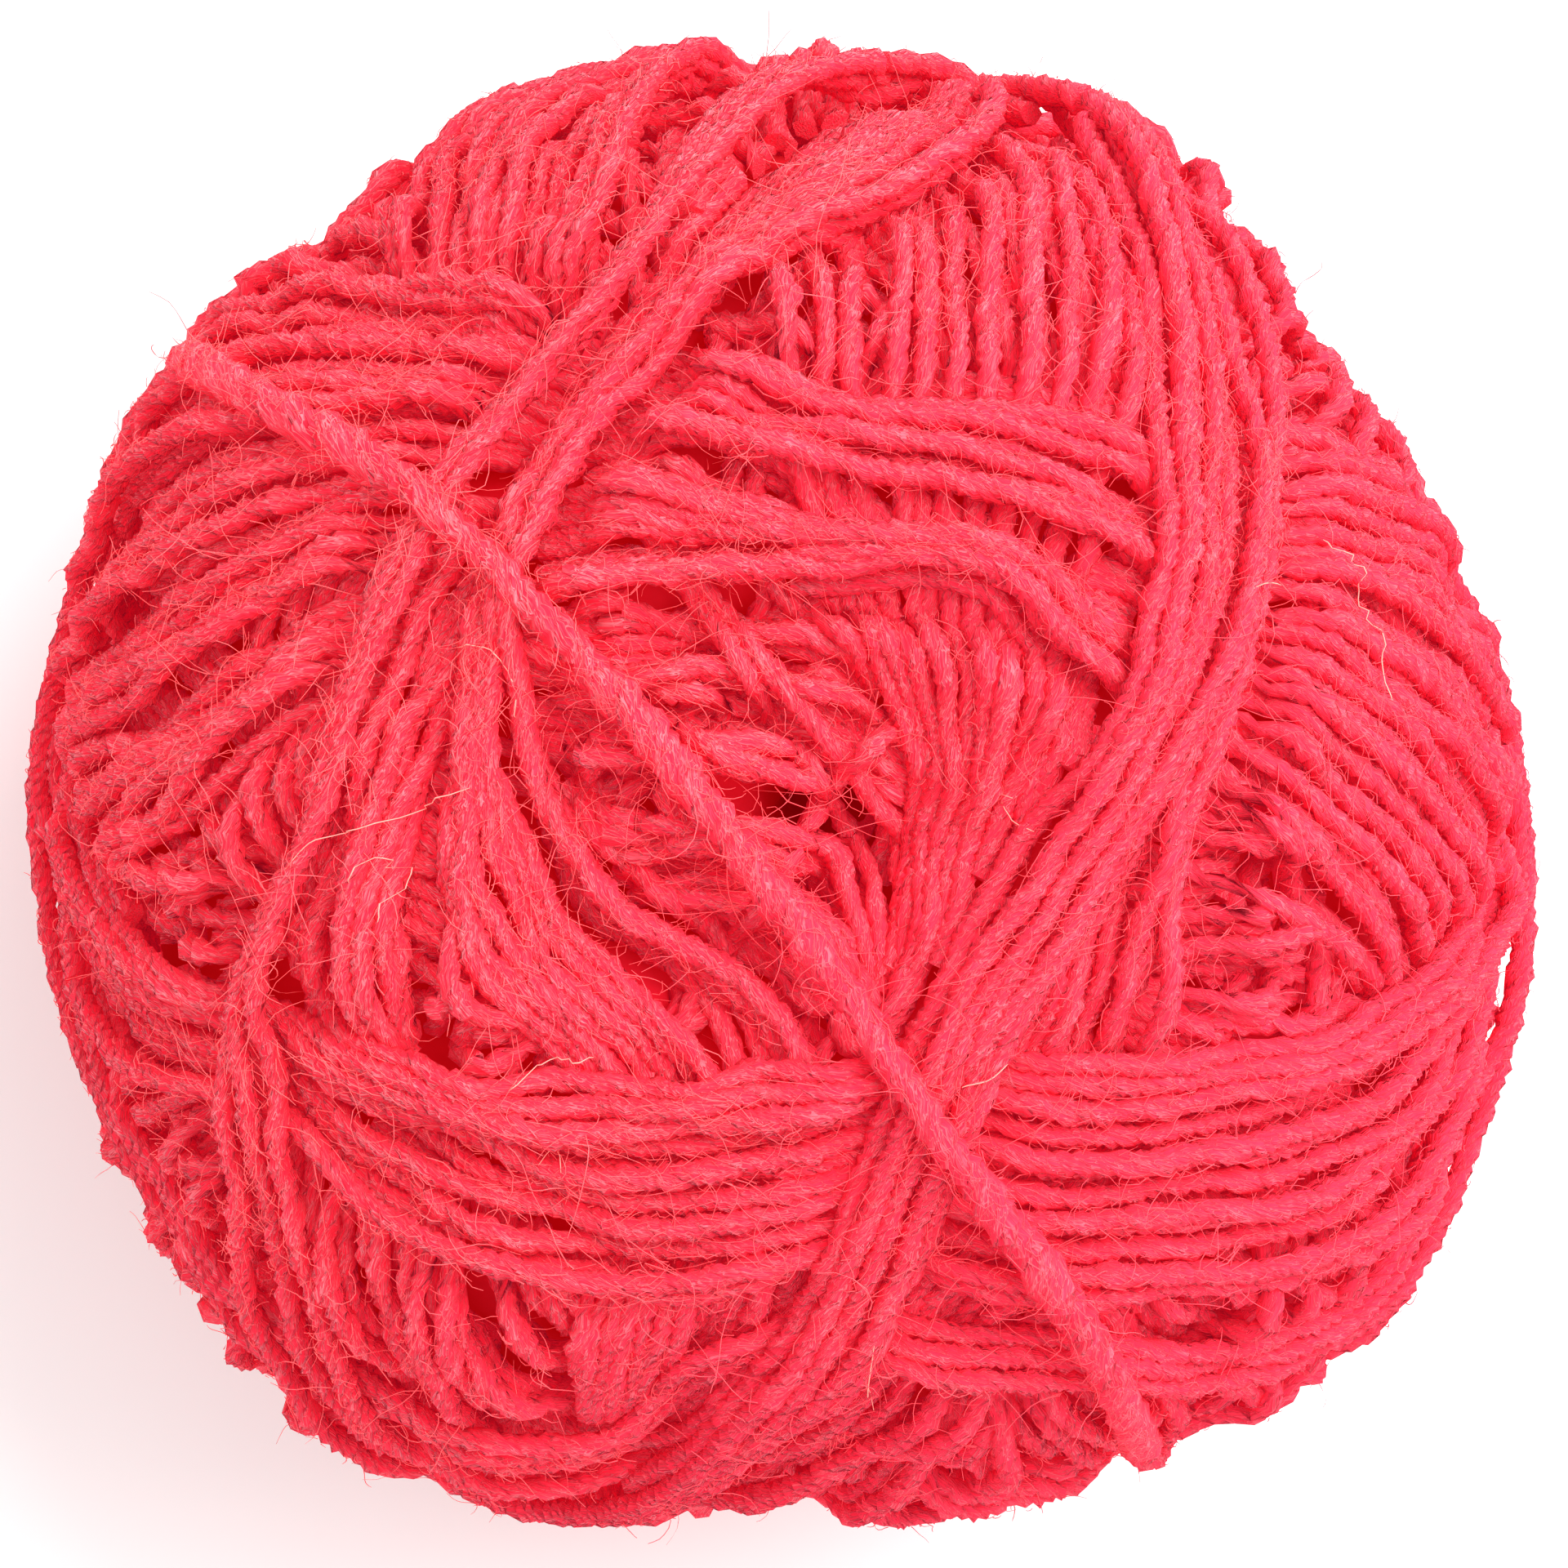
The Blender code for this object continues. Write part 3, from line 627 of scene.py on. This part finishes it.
def addNode(tree, kind, settings=None, values=None):
    node = tree.nodes.new(kind)
    for name, value in (settings or {}).items():
        setattr(node, name, value)
    for key, value in (values or {}).items():
        if isinstance(value, Wire):
            tree.links.new(value.socket, node.inputs[key])
        else:
            node.inputs[key].default_value = value
    return node


def sweepTree():
    # sweeps a two-lobed round, twisted as the plies are, along every line of a wire mesh
    tree = bpy.data.node_groups.new("threadSweep", "GeometryNodeTree")
    tree.interface.new_socket("Lines", in_out="INPUT", socket_type="NodeSocketGeometry")
    for name, kind in (("Sides", "NodeSocketInt"), ("Ply pitch", "NodeSocketFloat"),
                       ("Groove depth", "NodeSocketFloat"), ("Material", "NodeSocketMaterial")):
        tree.interface.new_socket(name, in_out="INPUT", socket_type=kind)
    tree.interface.new_socket("Mesh", in_out="OUTPUT", socket_type="NodeSocketGeometry")

    def out(node, key=0):
        return Wire(tree, node.outputs[key])

    def named(name, kind):
        return out(addNode(tree, "GeometryNodeInputNamedAttribute", {"data_type": kind},
                           {"Name": name}))

    def store(shape, name, kind, value):
        return out(addNode(tree, "GeometryNodeStoreNamedAttribute",
                           {"data_type": kind, "domain": "POINT"},
                           {"Geometry": shape, "Name": name, "Value": value}))

    given = addNode(tree, "NodeGroupInput")
    curve = out(addNode(tree, "GeometryNodeMeshToCurve", None, {"Mesh": out(given, "Lines")}))
    along = out(addNode(tree, "GeometryNodeSplineParameter"), "Length")
    apart = named("tone", "FLOAT") * 700.0      # so that no two turns look alike
    curve = store(curve, "run", "FLOAT", along * (1.0 / mm) + apart)
    spot = out(addNode(tree, "GeometryNodeInputPosition"))
    middle = [value * mm for value in ballForm["shift"]]
    arm = out(addNode(tree, "ShaderNodeVectorMath", {"operation": "SUBTRACT"},
                      {0: spot, 1: middle}))
    away = out(addNode(tree, "ShaderNodeVectorMath", {"operation": "NORMALIZE"}, {0: arm}))
    curve = out(addNode(tree, "GeometryNodeSetCurveNormal", {"mode": "FREE"},
                        {"Curve": curve, "Normal": away}))
    twist = along / out(given, "Ply pitch") * (2.0 * math.pi)
    curve = out(addNode(tree, "GeometryNodeSetCurveTilt", None, {"Curve": curve, "Tilt": twist}))
    loop = out(addNode(tree, "GeometryNodeCurvePrimitiveCircle", {"mode": "RADIUS"},
                       {"Resolution": out(given, "Sides"), "Radius": 1.0}), "Curve")
    loop = store(loop, "facing", "FLOAT_VECTOR", spot)
    facing = addNode(tree, "ShaderNodeSeparateXYZ", None, {0: named("facing", "FLOAT_VECTOR")})
    groove = out(facing, "Y") * out(facing, "Y")
    lobed = addNode(tree, "ShaderNodeVectorMath", {"operation": "SCALE"},
                    {0: spot, "Scale": 1.0 - groove * out(given, "Groove depth")})
    loop = out(addNode(tree, "GeometryNodeSetPosition", None,
                       {"Geometry": loop, "Position": out(lobed)}))
    mesh = out(addNode(tree, "GeometryNodeCurveToMesh", None,
                       {"Curve": curve, "Profile Curve": loop,
                        "Scale": named("thick", "FLOAT"), "Fill Caps": True}))
    fibre = addNode(tree, "ShaderNodeCombineXYZ", None,
                    {0: out(facing, "X"), 1: out(facing, "Y"), 2: named("run", "FLOAT")})
    mesh = store(mesh, "fibre", "FLOAT_VECTOR", out(fibre))
    # how far the surface faces out from the ball's middle; the wool material paints shade on the sides
    # that face away
    normal = out(addNode(tree, "GeometryNodeInputNormal"))
    back = addNode(tree, "ShaderNodeVectorMath", {"operation": "DOT_PRODUCT"},
                   {0: normal, 1: away})
    mesh = store(mesh, "back", "FLOAT", out(back, "Value"))
    mesh = out(addNode(tree, "GeometryNodeSetShadeSmooth", None, {"Geometry": mesh}))
    mesh = out(addNode(tree, "GeometryNodeRealizeInstances", None, {"Geometry": mesh}))
    mesh = addNode(tree, "GeometryNodeSetMaterial", None,
                   {"Geometry": mesh, "Material": out(given, "Material")})
    result = addNode(tree, "NodeGroupOutput")
    tree.links.new(mesh.outputs[0], result.inputs["Mesh"])
    return tree


def addPiece(name, mesh):
    mesh.name = name
    piece = bpy.data.objects.new(name, mesh)
    bpy.context.scene.collection.objects.link(piece)
    return piece


def sweptPiece(name, lines, tree, values):
    # lines hold points in mm, with their radius and tone
    wires = bpy.data.meshes.new(name + "Wires")
    points = np.concatenate([line["points"] for line in lines]) * mm
    counts = np.array([len(line["points"]) for line in lines])
    index = np.arange(len(points))
    joins = np.ones(len(points), dtype=bool)
    joins[np.cumsum(counts) - 1] = False
    edges = np.stack([index[joins], index[joins] + 1], axis=1)
    wires.from_pydata(points.tolist(), edges.tolist(), [])
    radius = np.concatenate([line["radius"] for line in lines]) * mm
    tone = np.repeat([line["tone"] for line in lines], counts)
    for label, column in (("thick", radius), ("tone", tone)):
        layer = wires.attributes.new(label, "FLOAT", "POINT")
        layer.data.foreach_set("value", column.astype(np.float32))
    holder = addPiece(name + "Wires", wires)
    sweep = holder.modifiers.new("sweep", "NODES")
    sweep.node_group = tree
    sockets = {item.name: item.identifier for item in tree.interface.items_tree
               if item.in_out == "INPUT"}
    for label, value in values.items():
        sweep[sockets[label]] = value
    depsgraph = bpy.context.evaluated_depsgraph_get()
    mesh = bpy.data.meshes.new_from_object(holder.evaluated_get(depsgraph),
                                           preserve_all_data_layers=True, depsgraph=depsgraph)
    holder.modifiers.remove(sweep)
    bpy.data.objects.remove(holder)
    bpy.data.meshes.remove(wires)
    piece = addPiece(name, mesh)
    mesh.calc_loop_triangles()
    print(name, "lines", len(lines), "triangles", len(mesh.loop_triangles))
    return piece


def woolMaterial(name, look):
    material = bpy.data.materials.new(name)
    material.use_nodes = True
    tree = material.node_tree
    tree.nodes.clear()

    def out(node, key=0):
        return Wire(tree, node.outputs[key])

    def noise(vector, scale, detail, roughness=0.55):
        node = addNode(tree, "ShaderNodeTexNoise", None,
                       {"Vector": vector, "Scale": scale, "Detail": detail,
                        "Roughness": roughness})
        return out(node, "Fac")

    def hairLines(field, width):
        # thin curling lines where a noise passes its middle value
        away = (field - 0.5) / width
        return 1.0 - (away * away).ramp(0.0, 1.0)

    def stretched(vector, factors):
        return out(addNode(tree, "ShaderNodeVectorMath", {"operation": "MULTIPLY"},
                           {0: vector, 1: factors}))

    def mix(share, first, second):
        node = addNode(tree, "ShaderNodeMix", {"data_type": "RGBA"}, {"Factor": share})
        for key, value in ((6, first), (7, second)):
            if isinstance(value, Wire):
                tree.links.new(value.socket, node.inputs[key])
            else:
                node.inputs[key].default_value = (*value, 1.0)
        return out(node, 2)

    def turned(vector, rate):
        # winds the way round a turn along its length
        run = out(addNode(tree, "ShaderNodeSeparateXYZ", None, {0: vector}), "Z")
        node = addNode(tree, "ShaderNodeVectorRotate", {"rotation_type": "Z_AXIS"},
                       {"Vector": vector, "Angle": run * (2.0 * math.pi * rate)})
        return out(node)

    around = out(addNode(tree, "ShaderNodeAttribute", {"attribute_name": "fibre"}), "Vector")
    fibre = turned(around, look["fibreTwist"])
    ply = out(addNode(tree, "ShaderNodeSeparateXYZ", None, {0: around}), "Y")
    groove = (ply * ply).ramp(look["grooveStart"], 1.0)
    tone = out(addNode(tree, "ShaderNodeAttribute", {"attribute_name": "tone"}), "Fac")
    spot = out(addNode(tree, "ShaderNodeTexCoord"), "Object")
    streaks = noise(stretched(fibre, look["streak"]), 1.0, 2.0)
    strands = noise(stretched(fibre, look["strand"]), 1.0, 1.0)
    clouds = noise(spot, look["cloudScale"], 2.0)
    lines = hairLines(noise(stretched(fibre, look["line"]), 1.0, 1.0), look["lineWidth"])
    crossing = hairLines(noise(stretched(fibre, look["loose"]), 1.0, 1.0), look["lineWidth"])
    place = addNode(tree, "ShaderNodeSeparateXYZ", None, {0: spot})
    drift = (out(place, "X") * look["driftX"] + out(place, "Y") * look["driftY"] + 0.5
             + (clouds - 0.5) * look["driftClouds"])

    colour = mix(streaks.ramp(*look["streakBand"]), look["deep"], look["main"])
    colour = mix(strands.ramp(*look["strandBand"]) * look["paleShare"], colour, look["pale"])
    # thin pale lines: lighter fibres, and in part a painted glint of light on single fibres
    colour = mix(lines * look["fibreGlintShare"], colour, look["pale"])
    colour = mix(crossing * look["fibreGlintShare"], colour, look["pale"])
    # painted shade in the grooves between the two plies
    colour = mix(groove * look["grooveShadeShare"], colour, look["deep"])
    # painted shade: the sides of each turn that face away from the ball's outward way are darkened, as
    # the shade in the gaps between turns
    back = out(addNode(tree, "ShaderNodeAttribute", {"attribute_name": "back"}), "Fac")
    colour = mix((1.0 - back).ramp(*look["sideShadeBand"]) * look["sideShadeShare"], colour, look["paintedSideShade"])
    colour = mix(drift.ramp(*look["driftBand"]) * look["driftShare"], colour, look["far"])
    colour = mix((tone - 0.1).ramp(0.0, 1.0) * look["toneShare"], colour, look["deep"])
    height = (streaks * look["streakBump"] + strands * look["streakBump"]
              + lines * look["lineBump"] + crossing * look["lineBump"]
              - groove * look["grooveBump"])
    bump = addNode(tree, "ShaderNodeBump", None,
                   {"Height": height, "Strength": look["bump"], "Distance": look["bumpDepth"]})
    shader = addNode(tree, "ShaderNodeBsdfPrincipled", None,
                     {"Base Color": colour,
                      "Roughness": look["roughness"] + streaks * look["roughnessDrift"],
                      "Normal": out(bump), "Sheen Weight": look["sheen"],
                      "Sheen Roughness": 0.5, "Sheen Tint": (*look["sheenTint"], 1.0),
                      "Specular IOR Level": look["shine"]})
    # painted glow: a weak red emission that lightens the shadows between the turns
    shader.inputs["Emission Color"].default_value = (*look["paintedGlowTint"], 1.0)
    shader.inputs["Emission Strength"].default_value = look["paintedGlow"]
    surface = addNode(tree, "ShaderNodeOutputMaterial")
    tree.links.new(shader.outputs[0], surface.inputs["Surface"])
    return material


woolLook = {
    "deep": (0.97, 0.022, 0.05),
    "main": (0.98, 0.053, 0.093),
    "pale": (1.0, 0.27, 0.31),
    "far": (0.97, 0.04, 0.1),
    # painted shade for the sides of the turns, where they face the gaps between them
    "paintedSideShade": (0.96, 0.013, 0.034),
    "sideShadeShare": 0.62,
    "streak": (4.6, 4.6, 0.36),
    "strand": (7.5, 7.5, 0.5),
    "line": (3.4, 3.4, 0.5),
    "loose": (2.4, 2.4, 1.0),
    "lineWidth": 0.035,
    # share of the pale fibre lines, in part a painted glint
    "fibreGlintShare": 0.75,
    "cloudScale": 90.0,
    "driftX": 12.0,
    "driftY": -4.0,
    "driftShare": 0.55,
    "driftClouds": 0.9,
    "driftBand": (0.1, 1.0),
    "streakBand": (0.36, 0.66),
    "strandBand": (0.52, 0.74),
    "sideShadeBand": (0.15, 0.9),
    "paleShare": 0.62,
    "fibreTwist": 0.12,
    "grooveStart": 0.45,
    # painted shade in the ply grooves
    "grooveShadeShare": 0.6,
    "grooveBump": 0.5,
    "streakBump": 0.5,
    "lineBump": 0.35,
    "roughness": 0.75,
    "roughnessDrift": 0.2,
    "shine": 0.06,
    "toneShare": 0.12,
    "bump": 0.75,
    "bumpDepth": 0.00035,
    "sheen": 0.04,
    "sheenTint": (1.0, 0.5, 0.48),
    "paintedGlow": 0.17,                       # painted glow: a red emission standing in for what the loose wool scatters on into its gaps
    "paintedGlowTint": (1.0, 0.012, 0.05),
}

fuzzLook = dict(woolLook, deep=(1.0, 0.04, 0.055), main=(1.0, 0.12, 0.13),
                pale=(1.0, 0.33, 0.32), bump=0.0, sideShadeShare=0.0, grooveShadeShare=0.0)

# painted shade: the core is dark so that the gaps between the outer turns read as shadow
shadeCoreLook = dict(woolLook, paintedGlow=0.02, deep=(0.45, 0.001, 0.01), main=(0.5, 0.002, 0.01),
                pale=(0.8, 0.006, 0.02))

strayLook = dict(fuzzLook, deep=(1.0, 0.3, 0.25), main=(1.0, 0.42, 0.34),
                 pale=(1.0, 0.6, 0.5), driftShare=0.0)

# Loose fibres, rooted round the turns' backs; angles in radians, the rest in mm
fuzz = (
    {"name": "curls", "pieces": 1, "hairs": 3700, "points": 8, "radius": 0.03, "shortest": 2.0,
     "longest": 6.5, "spread": 1.0, "lift": 0.8, "sway": 0.6, "curl": 0.66, "settle": 0.2},
    {"name": "down", "pieces": 2, "hairs": 12700, "points": 4, "radius": 0.029, "shortest": 0.8,
     "longest": 2.4, "spread": 1.0, "lift": 0.9, "sway": 0.7, "curl": 0.6, "settle": 0.25},
)

# How much fuzz grows above each height
fuzzShares = ((40.0, 1.0), (24.0, 0.45), (8.0, 0.3), (1.5, 0.12))

fuzzForm = {
    "rootDepth": 0.85,          # where a fibre starts, over the turn's radius
    "shortness": 1.6,           # past 1, more of them are short
    "rimLength": 1.5,           # shorter where they would fringe the rim
    "rimShortest": 0.3,
    "leastLift": 0.05,
    "bendChange": 0.2,
    "lowest": 0.15,
    "tip": 0.5,                 # the tip's radius over the root's
    "uneven": (0.7, 1.25),
}


def growFuzz(stretches, kind, rng):
    spots = np.concatenate([s["points"] for s in stretches])
    outward = np.concatenate([s["way"] for s in stretches])
    across = np.concatenate([s["across"] for s in stretches])
    radius = np.concatenate([s["radius"] for s in stretches])
    along = np.cross(across, outward)
    weight = np.zeros(len(spots))
    for height, share in reversed(fuzzShares):
        weight[spots[:, 2] > height] = share
    weight *= np.concatenate([s["bare"] for s in stretches])
    count = kind["hairs"]
    pick = rng.choice(len(spots), count, p=weight / weight.sum())
    angle = rng.normal(0.0, kind["spread"], count)[:, None]
    out = outward[pick] * np.cos(angle) + across[pick] * np.sin(angle)
    spot = spots[pick] + out * radius[pick][:, None] * fuzzForm["rootDepth"]
    side = np.cross(along[pick], out)
    heading = unit(along[pick] * rng.choice([-1.0, 1.0], count)[:, None]
                   + out * rng.uniform(fuzzForm["leastLift"], kind["lift"], count)[:, None]
                   + side * rng.normal(0.0, kind["sway"], count)[:, None])
    share = rng.uniform(0.0, 1.0, count) ** fuzzForm["shortness"]
    length = kind["shortest"] + share * (kind["longest"] - kind["shortest"])
    length *= np.clip(outward[pick, 2] * fuzzForm["rimLength"], fuzzForm["rimShortest"], 1.0)
    step = (length / (kind["points"] - 1))[:, None]
    bend = unit(rng.normal(0.0, 1.0, (count, 3))) * kind["curl"]
    rows = [spot]
    for _ in range(kind["points"] - 1):
        rows.append(rows[-1] + heading * step)
        heading = unit(heading + bend - outward[pick] * kind["settle"])
        bend = bend + rng.normal(0.0, fuzzForm["bendChange"], (count, 3))
    rows = np.stack(rows, axis=1)
    rows[..., 2] = np.maximum(rows[..., 2], fuzzForm["lowest"])
    taper = np.linspace(1.0, fuzzForm["tip"], kind["points"])
    thick = kind["radius"] * rng.uniform(*fuzzForm["uneven"], count)[:, None] * taper
    tones = rng.uniform(0.0, 1.0, count)
    return [{"points": rows[k], "radius": thick[k], "tone": tones[k]} for k in range(count)]


# Long pale fibres that lie loose on the near face
strayHairs = (
    ((-16.1, 6.5), (-14, 6.4), (-13.2, 5), (-13.1, 3.9), (-13.7, 2.4)),
    ((-23, -4.6), (-21.6, -2.9), (-19.5, -2.4), (-17, -1.2), (-15, -0.4)),
    ((-20.5, -2.6), (-21.3, -4.2), (-20, -5.2), (-19.4, -3.6), (-18.2, -4.4), (-18.6, -7)),
    ((12.2, -0.7), (12.6, -2.4), (13.7, -3.0)),
    ((21.9, 8.6), (22.5, 9.1), (23.5, 8.8)),
    ((-13, -15), (-11.5, -14.2), (-9, -14)),
    ((26, 11.5), (28, 8.5), (28.6, 6), (29.3, 3.2)),
    ((8.5, -14.5), (10, -14.2), (11, -13.2)),
    ((-11.5, -18.7), (-10.8, -17.8), (-10.2, -19)),
    ((4.5, -26), (4.1, -28.5), (4.7, -30.5)),
)

strayForm = {"radius": 0.035, "over": 0.45, "step": 0.35, "stiffness": 3, "tip": 0.5, "tone": 0.9}


def layStrays(winding):
    hairs = []
    for line in strayHairs:
        line = np.array(line, dtype=float)
        steps = np.linalg.norm(np.diff(line, axis=0), axis=1)
        far = np.concatenate([[0.0], np.cumsum(steps)])
        even = np.arange(0.0, far[-1], strayForm["step"])
        places = np.stack([np.interp(even, far, line[:, k]) for k in range(2)], axis=1)
        padded = np.pad(places, ((2, 2), (0, 0)), mode="edge")
        places = (padded[:-4] + 2 * padded[1:-3] + 3 * padded[2:-2] + 2 * padded[3:-1]
                  + padded[4:]) / 9.0
        ways = facePoint(places)
        tops = levelled(winding.height[cellOf(ways, grid["cells"])])
        reach = strayForm["stiffness"]
        mean = np.ones(2 * reach + 1) / (2 * reach + 1)
        tops = np.maximum(tops, np.convolve(np.pad(tops, reach, mode="edge"), mean, "valid"))
        points = ways * (formRadius(ways) + tops + strayForm["over"])[:, None] + ballForm["shift"]
        radius = np.full(len(points), strayForm["radius"])
        radius[[0, -1]] *= strayForm["tip"]
        hairs.append({"points": points, "radius": radius, "tone": strayForm["tone"]})
    return hairs


coreForm = {"under": 5.0, "hollowUnder": 4.0, "detail": 5}


def addCore(material):
    # a dark core under the outer turns: painted shade that shows in the gaps between them
    mesh = bpy.data.meshes.new("ballShadeCore")
    shape = bmesh.new()
    bmesh.ops.create_icosphere(shape, subdivisions=coreForm["detail"], radius=1.0)
    ways = unit(np.array([list(vertex.co) for vertex in shape.verts]))
    reach = formRadius(ways) - coreForm["under"] - hollowDepth(ways) - (
        hollowDepth(ways) / hollowForm["depth"] * coreForm["hollowUnder"])
    places = ways * reach[:, None] + ballForm["shift"]
    for vertex, place in zip(shape.verts, places):
        vertex.co = place * mm
    for face in shape.faces:
        face.smooth = True
    shape.to_mesh(mesh)
    shape.free()
    mesh.materials.append(material)
    return addPiece("ballShadeCore", mesh)


turnSides = {"olderTurns": 5, "windowTurns": 6, "leftTurns": 6, "rightTurns": 6, "crossTurns": 6}


def addTurns(stretches, tree, material):
    shared = {"Ply pitch": yarn["plyPitch"] * mm, "Groove depth": yarn["groove"],
              "Material": material}
    pieces = []
    for name, sides in turnSides.items():
        print("sweeping", name)
        lines = [stretch for stretch in stretches if stretch["piece"] == name]
        pieces.append(sweptPiece(name, lines, tree, dict(shared, Sides=sides)))
    return pieces


def addHairs(stretches, winding, tree):
    shared = {"Sides": 3, "Ply pitch": 1.0, "Groove depth": 0.0,
              "Material": woolMaterial("woolFuzz", fuzzLook)}
    rng = np.random.default_rng(yarn["seed"] + 1)
    pieces = []
    for kind in fuzz:
        hairs = growFuzz(stretches, kind, rng)
        for k in range(kind["pieces"]):
            name = kind["name"] + "ABC"[k]
            pieces.append(sweptPiece(name, hairs[k::kind["pieces"]], tree, shared))
    strayValues = dict(shared, Material=woolMaterial("woolStray", strayLook))
    pieces.append(sweptPiece("strays", layStrays(winding), tree, strayValues))
    return pieces


paper = {"half": 2.0, "brightness": 0.97, "roughness": 0.9}


def addFloor():
    half = paper["half"]
    mesh = bpy.data.meshes.new("floor")
    corners = [(-half, -half, 0), (half, -half, 0), (half, half, 0), (-half, half, 0)]
    mesh.from_pydata(corners, [], [(0, 1, 2, 3)])
    material = bpy.data.materials.new("paper")
    material.use_nodes = True
    shader = material.node_tree.nodes["Principled BSDF"]
    shader.inputs["Base Color"].default_value = (*[paper["brightness"]] * 3, 1.0)
    shader.inputs["Roughness"].default_value = paper["roughness"]
    mesh.materials.append(material)
    return addPiece("floor", mesh)


# Light from all sides, with more of it from the upper right, in metres and watts
studio = {
    "world": 1.06,
    "softbox": {"place": (0.5, 0.36, 0.68), "size": 0.8, "power": 12.0},
    "aim": (0.0, 0.0, 0.03),
}


def lightStage(scene):
    world = bpy.data.worlds.new("studio")
    world.use_nodes = True
    backdrop = world.node_tree.nodes["Background"]
    backdrop.inputs["Color"].default_value = (1.0, 1.0, 1.0, 1.0)
    backdrop.inputs["Strength"].default_value = studio["world"]
    scene.world = world
    softbox = studio["softbox"]
    data = bpy.data.lights.new("softbox", "AREA")
    data.size = softbox["size"]
    data.energy = softbox["power"]
    lamp = bpy.data.objects.new("softbox", data)
    scene.collection.objects.link(lamp)
    lamp.location = softbox["place"]
    aim = Vector(studio["aim"]) - lamp.location
    lamp.rotation_euler = aim.to_track_quat("-Z", "Y").to_euler()
    scene.view_settings.view_transform = "Standard"


# It looks straight down, a little off the ball's middle as the photo does
camera = {"lens": 214.6, "sensor": 36.0, "nearest": 0.01, "place": (0.12, -0.08, 478.0)}


def placeCamera(scene):
    data = bpy.data.cameras.new("camera")
    data.lens = camera["lens"]
    data.sensor_width = camera["sensor"]
    data.clip_start = camera["nearest"]
    holder = bpy.data.objects.new("camera", data)
    holder.location = [value * mm for value in camera["place"]]
    scene.collection.objects.link(holder)
    scene.camera = holder


print("winding the ball")
winding = windBall()
stretches = shownStretches(winding)
stretches.append(crossingStretch(winding))
tree = sweepTree()
print("adding the core")
pieces = [addCore(woolMaterial("woolCoreShade", shadeCoreLook))]
pieces += addTurns(stretches, tree, woolMaterial("wool", woolLook))
print("growing the fuzz")
pieces += addHairs(stretches, winding, tree)
for piece in pieces:
    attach(piece, "root")
    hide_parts("yarn_ball")

print("setting the stage")
scene = bpy.context.scene
addFloor()
lightStage(scene)
placeCamera(scene)
